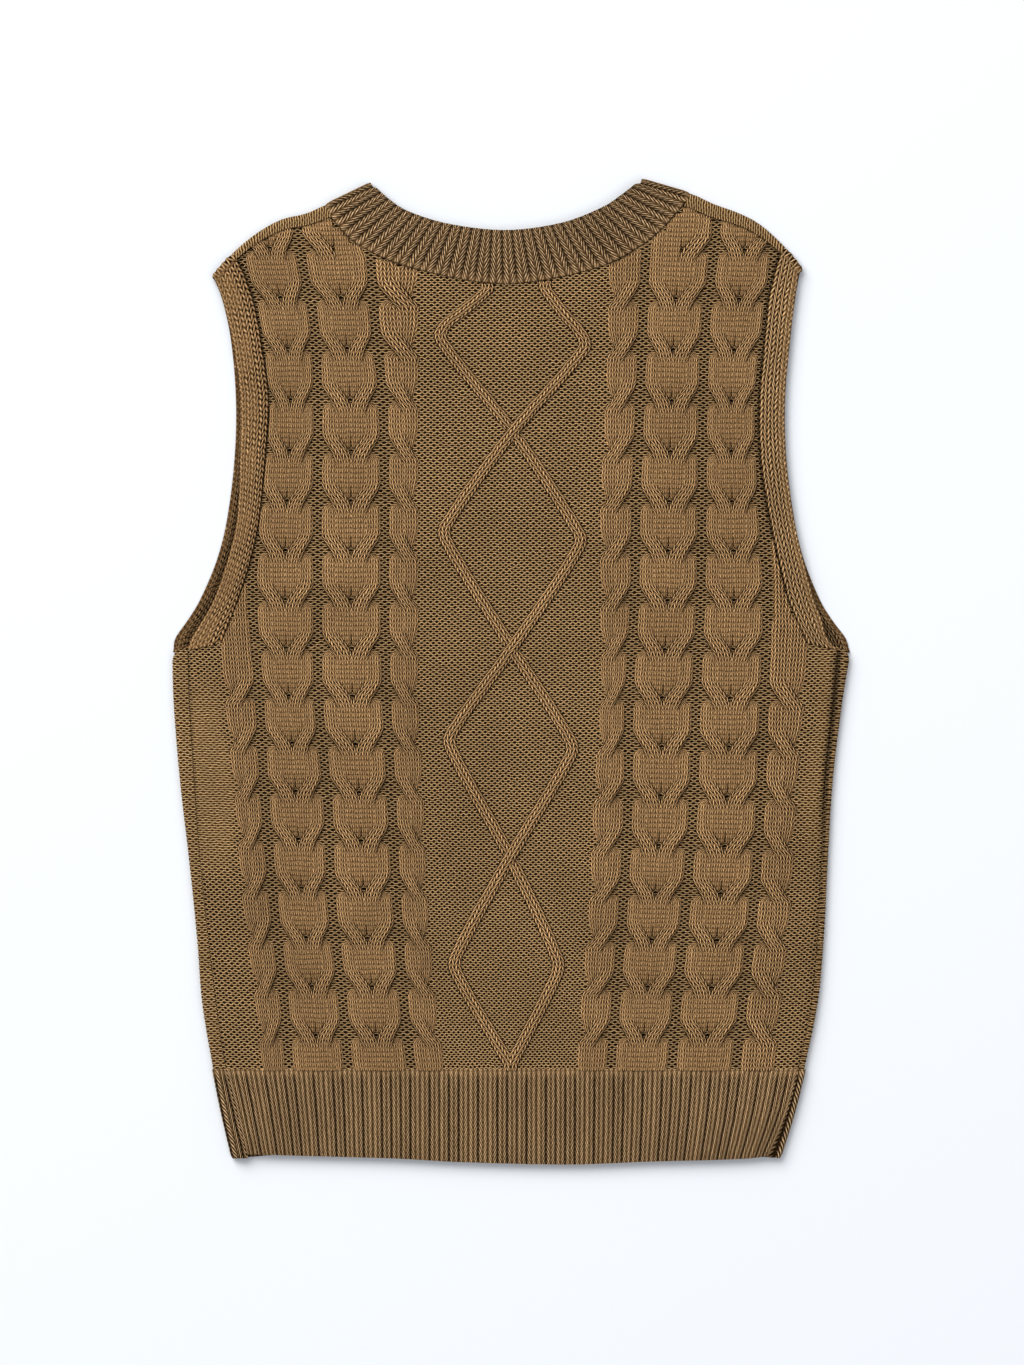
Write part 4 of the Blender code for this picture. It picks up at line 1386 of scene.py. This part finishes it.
@dataclass
class HemRib(Sheet):
    """One layer's hem rib; the front's turns up round both sides."""

    layer: Layer
    slot: str = "hem_rib"
    length: float = 63.0  # of the rib that shows
    rib: float = 6.35
    per_rib: int = 8
    rows: int = 21
    height: float = 1.1
    foot_roll: float = 0.7  # how far the lower edge rolls in
    closed_top: float = 7.0  # length below the panel where the rib lies more and more closed
    front_shade: float = 0.12  # painted shade of the front's, which lies under the back's
    shares: tuple[float, ...] = (0.25, 0.5, 0.75, 1.0)

    @property
    def node(self) -> str:
        """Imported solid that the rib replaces."""
        return "hem_rib_" + self.layer.value

    @property
    def flat(self) -> Pair:
        """Width and length of the cut."""
        return (396.0 if self.layer is Layer.BACK else 425.0), 66.0

    def build(self) -> Built:
        """Model and dress the rib.

        Returns:
            The rib and its area.
        """
        key, on_top = self.layer.value, self.layer is Layer.BACK
        up = np.linspace(0, 1, self.rows)
        levels = [mix(foot, HEM_TOP, up) for foot in HEM_EDGE.column(key)[[0, -1]]]
        ends = [stacked(flank.side(level, self.layer), level) for flank, level in zip(FLANKS, levels)]
        ribs = round(np.linalg.norm(ends[0][-1] - ends[1][-1]) / self.rib)
        across = np.linspace(0, 1, ribs * self.per_rib + 1)
        plan = mix(ends[0][:, None], ends[1][:, None], across[:, None])
        plan[..., 0] = mix(plan[-1:, :, 0], plan[..., 0], (2 * across - 1) ** 2)
        dip = HEM_EDGE.read(key, plan[0, :, 0], "across") - plan[0, :, 1]
        dip[0] = dip[-1] = 0.0
        plan[..., 1] += dip * (1 - up[:, None])
        if on_top:
            middle = at_height(plan, UPPER + swell(plan[..., 0], plan[..., 1]))
            count = across * ribs
        else:
            left, right = (turned_side(f, level, self.shares) for f, level in zip(FLANKS, levels))
            middle = np.concatenate([right[:, :-1], at_height(plan, LOWER)[:, ::-1], left[:, 1:]], axis=1)
            count = length_along(middle[self.rows // 2]) / self.rib
            count = count - count[right.shape[1] - 1]
        relief = self.height * (1 - np.abs(2 * (count % 1) - 1) ** 3)
        relief = relief - self.foot_roll * ramp(up[:, None] * self.length, 3.0, 0.0)
        slack = ramp(middle[..., 1], HEM_TOP - self.closed_top, HEM_TOP)
        if on_top:  # some ribs lie more closed than others
            slack = np.maximum(slack, 0.35 * np.sin(2.6 * np.round(count)))
        piece = shell(f"hem_{key}", middle, relief, stacked(count, middle[..., 1] / COURSE), HEM_RIB,
                      painted_shade=0.0 if on_top else self.front_shade, slack=slack)
        return [piece], area_of(middle)


@dataclass
class Edging(Sheet):
    """One armhole's stockinette edging on one layer; the front's turns over the shoulder."""

    flank: Flank
    layer: Layer
    slot: str = "armhole_edging"
    flat: Pair = (20.5, 262.0)
    columns: int = 23
    row_step: float = 1.6
    height: float = 0.9
    groove: float = 0.25  # depth of the grooves between wales
    edge_roll: float = 0.6  # how far both sides roll in
    smooth_band: float = 0.85  # wales along the finished edge that lie closed
    wales: Pair = (4.5, 3.6)  # wales across at the left and at the right
    course: float = 1.2 * COURSE

    @property
    def node(self) -> str:
        """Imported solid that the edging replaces."""
        return f"armhole_edge_{self.layer.value}_{self.flank.hand.value}"

    def build(self) -> Built:
        """Model and dress the edging.

        Returns:
            The edging and its area.
        """
        edge, seam = self.line("edge"), self.line("seam")
        rows = round(self.flat[1] / self.row_step)
        share = np.linspace(0, 1, self.columns)
        middle = np.stack([evenly(mix(edge, seam, t), rows) for t in share], axis=1)
        left, on_top = self.flank.hand is Hand.LEFT, self.layer is Layer.BACK
        if left != on_top:
            middle, share = middle[:, ::-1], share[::-1]
        wale = share * self.wales[0 if left else 1]
        along = length_along(middle.mean(axis=1))[:, None]
        roll = np.abs(2 * share - 1) ** 6
        relief = self.height * (1 - roll) - self.groove * np.cos(2 * np.pi * wale) - self.edge_roll * roll
        if on_top:  # painted shade at the panel's seam, above the underarm
            painted_shade = 0.6 * ramp(share, 0.9, 1.0) * ramp(middle[..., 1], 25.0, 50.0)
        else:  # in the back's shadow
            below = middle[..., 2] < LOWER + FOLD_RADIUS
            painted_shade = 0.1 + below * (0.05 + 0.42 * ramp(share, 0.05, 0.4))
        slack = ramp(wale, self.smooth_band + 0.2, self.smooth_band)
        if left:  # lies closed in patches
            patches = 0.55 + 0.3 * np.sin(along / 6.1) + 0.15 * np.sin(along / 2.3)
            slack = np.maximum(slack, patches * ramp(wale, 3.0, 2.6))
        name = f"edging_{self.layer.value}_{self.flank.hand.value}"
        piece = shell(name, middle, relief, stacked(wale, along / self.course),
                      EDGE_CLOSED if left else EDGE_KNIT, painted_shade=painted_shade, slack=slack)
        return [piece], area_of(middle)

    def line(self, kind: str) -> Array:
        """Follow one side of the edging.

        Args:
            kind: "edge" for the finished edge or "seam" for the inner side.

        Returns:
            Points of the middle of the wall, from the underarm to the shoulder seam.
        """
        front, out = self.layer is Layer.FRONT, self.flank.hand.out
        low, top = (UNDERARM, EDGE_TOP) if kind == "edge" else (UNDERARM + UNDERARM_STEP, EDGE_SEAM_TOP)
        low -= 1.2 * front
        levels = np.linspace(low, top, 80)
        across = self.flank.armhole(levels, kind, self.layer)
        if kind == "edge":
            corner = self.flank.side(np.array([UNDERARM]), self.layer)[0] + front * out * (CREST_TO_MIDDLE - 0.8)
            across = mix(across, across - across[0] + corner, ramp(levels, low + 12.0, low))
        line = at_height(stacked(across, levels), LOWER if front else UPPER)
        crest, outward = self.flank.corner(EDGING_ROWS[kind])
        seam = at_height(self.flank.beside_fold(crest, outward, Layer.BACK), UPPER)
        return np.concatenate([line, *([turn_over(crest, outward)[:, 0]] if front else []), seam])


@dataclass
class NeckBand(Sheet):
    """The neckband: a ring of rib across the back neck, over both shoulders and round the front neck."""

    slot: str = "neck_rib"
    node: str = "neckband"
    flat: Pair = (590.0, NECKBAND_WIDTH)
    back_ribs: int = 29
    front_ribs: int = 31
    turn_ribs: int = 2
    per_rib: int = 8
    rows: int = 13
    height: float = 1.1
    edge_roll: float = 0.5  # how far both sides roll in
    crown: float = 0.6  # rise of the band's middle on top
    seam_shade: float = 0.3

    def build(self) -> Built:
        """Model and dress the band.

        Returns:
            The band and its area.
        """
        up = np.linspace(0, 1, self.rows)[:, None]
        middle = mix(self.ring("seam"), self.ring("edge"), up[..., None])
        middle[..., 2] += self.crown * np.sin(np.pi * up) * (middle[..., 2] > ON_TOP)
        count = np.arange(middle.shape[1]) / self.per_rib
        relief = self.height * (1 - np.abs(2 * (count % 1) - 1) ** 3) * ramp(up, 0.0, 0.12)
        relief = relief - self.edge_roll * (ramp(up, 0.9, 1.0) + ramp(up, 0.1, 0.0))
        piece = shell("neckband_rib", middle, relief, stacked(count, up * NECKBAND_WIDTH / COURSE), NECK_RIB,
                      ring=True, painted_shade=self.seam_shade * ramp(up, 0.05, 0.0), slack=ramp(up, 0.14, 0.0))
        return [piece], area_of(middle)

    def ring(self, line: str) -> Array:
        """Follow one side of the band.

        Args:
            line: "edge" or "seam".

        Returns:
            Points of the middle of the wall: the back from left to right, and round by the front.
        """
        left, right = (turn_over(*flank.corner(BAND_ROWS[line]))[:, 0] for flank in FLANKS)
        back = np.concatenate([left[-1:], at_height(neckline(Layer.BACK, line, 60), UPPER), right[-1:]])
        front = at_height(neckline(Layer.FRONT, line, 80), LOWER)[::-1]
        parts = ((back, self.back_ribs), (right[::-1], self.turn_ribs), (front, self.front_ribs),
                 (left, self.turn_ribs))
        rows = [evenly(part, ribs * self.per_rib + 1)[:-1] for part, ribs in parts]
        return np.concatenate([*rows, rows[0][:1]])


# ---------------- studio

@dataclass
class Studio:
    """Plain white table, soft light and a camera straight above."""

    pixel: float = 0.66  # millimetres of the plan to one of the picture's pixels
    picture_height: int = 1365
    centre: Pair = (0.33, -7.26)
    distance: float = 6.0
    table: float = 4.0
    table_colour: str = "#eceff2"
    room_colour: str = "#f3f7ff"
    room_light: float = 0.38
    lamps: tuple[tuple[str, tuple[float, ...], float, float], ...] = (  # name, place, side and power
        ("window", (-2.9, 3.9, 4.8), 5.5, 535.0), ("reflector", (3.6, -2.4, 6.6), 5.0, 120.0),
    )

    def build(self) -> None:
        """Make the table, the lights and the camera."""
        select_only()
        bpy.ops.mesh.primitive_plane_add(size=self.table)
        floor = bpy.context.object
        floor.name = "table_top"
        paper = bpy.data.materials.new("matt_white_paper")
        paper.use_nodes = True
        shader = paper.node_tree.nodes["Principled BSDF"]
        shader.inputs["Base Color"].default_value = linear(self.table_colour)
        shader.inputs["Roughness"].default_value = 0.9
        floor.data.materials.append(paper)

        world = bpy.data.worlds.new("soft_room")
        bpy.context.scene.world = world
        world.use_nodes = True
        background = world.node_tree.nodes["Background"]
        background.inputs["Color"].default_value = linear(self.room_colour)
        background.inputs["Strength"].default_value = self.room_light
        for name, place, size, power in self.lamps:
            bpy.ops.object.light_add(type="AREA", location=place)
            light = bpy.context.object
            light.name, light.data.size, light.data.energy = name, size, power
            light.rotation_euler = (-light.location).to_track_quat("-Z", "Y").to_euler()
        self.camera()
        bpy.context.scene.view_settings.view_transform = "Standard"

    def camera(self) -> None:
        """Add the camera, whose picture's height covers its share of the plan."""
        bpy.ops.object.camera_add(location=(self.centre[0] * MM, self.centre[1] * MM, self.distance),
                                  rotation=(0.0, 0.0, 0.0))
        camera = bpy.context.object
        camera.name = "overhead"
        camera.data.sensor_fit = "VERTICAL"
        height = self.picture_height * self.pixel * MM
        camera.data.lens = camera.data.sensor_height * self.distance / height
        camera.data.clip_end = 50.0
        bpy.context.scene.camera = camera


# ---------------- the whole vest

def build_vest() -> None:
    """Lay every sheet, the front's on the table and each of the back's on the front's."""
    under: list[Piece | str] = ["table_top"] * 4
    for layer, panel in ((Layer.FRONT, FrontPanel()), (Layer.BACK, BackPanel())):
        sheets = (panel, HemRib(layer), *(Edging(flank, layer) for flank in FLANKS))
        under = [sheet.lay(lower) for sheet, lower in zip(sheets, under)]
    NeckBand().lay("table_top")


def main() -> None:
    """Build the vest and its studio."""
    logging.basicConfig(level=logging.INFO, format="%(name)s: %(message)s")
    build_vest()
    Studio().build()


if __name__ == "__main__":
    main()
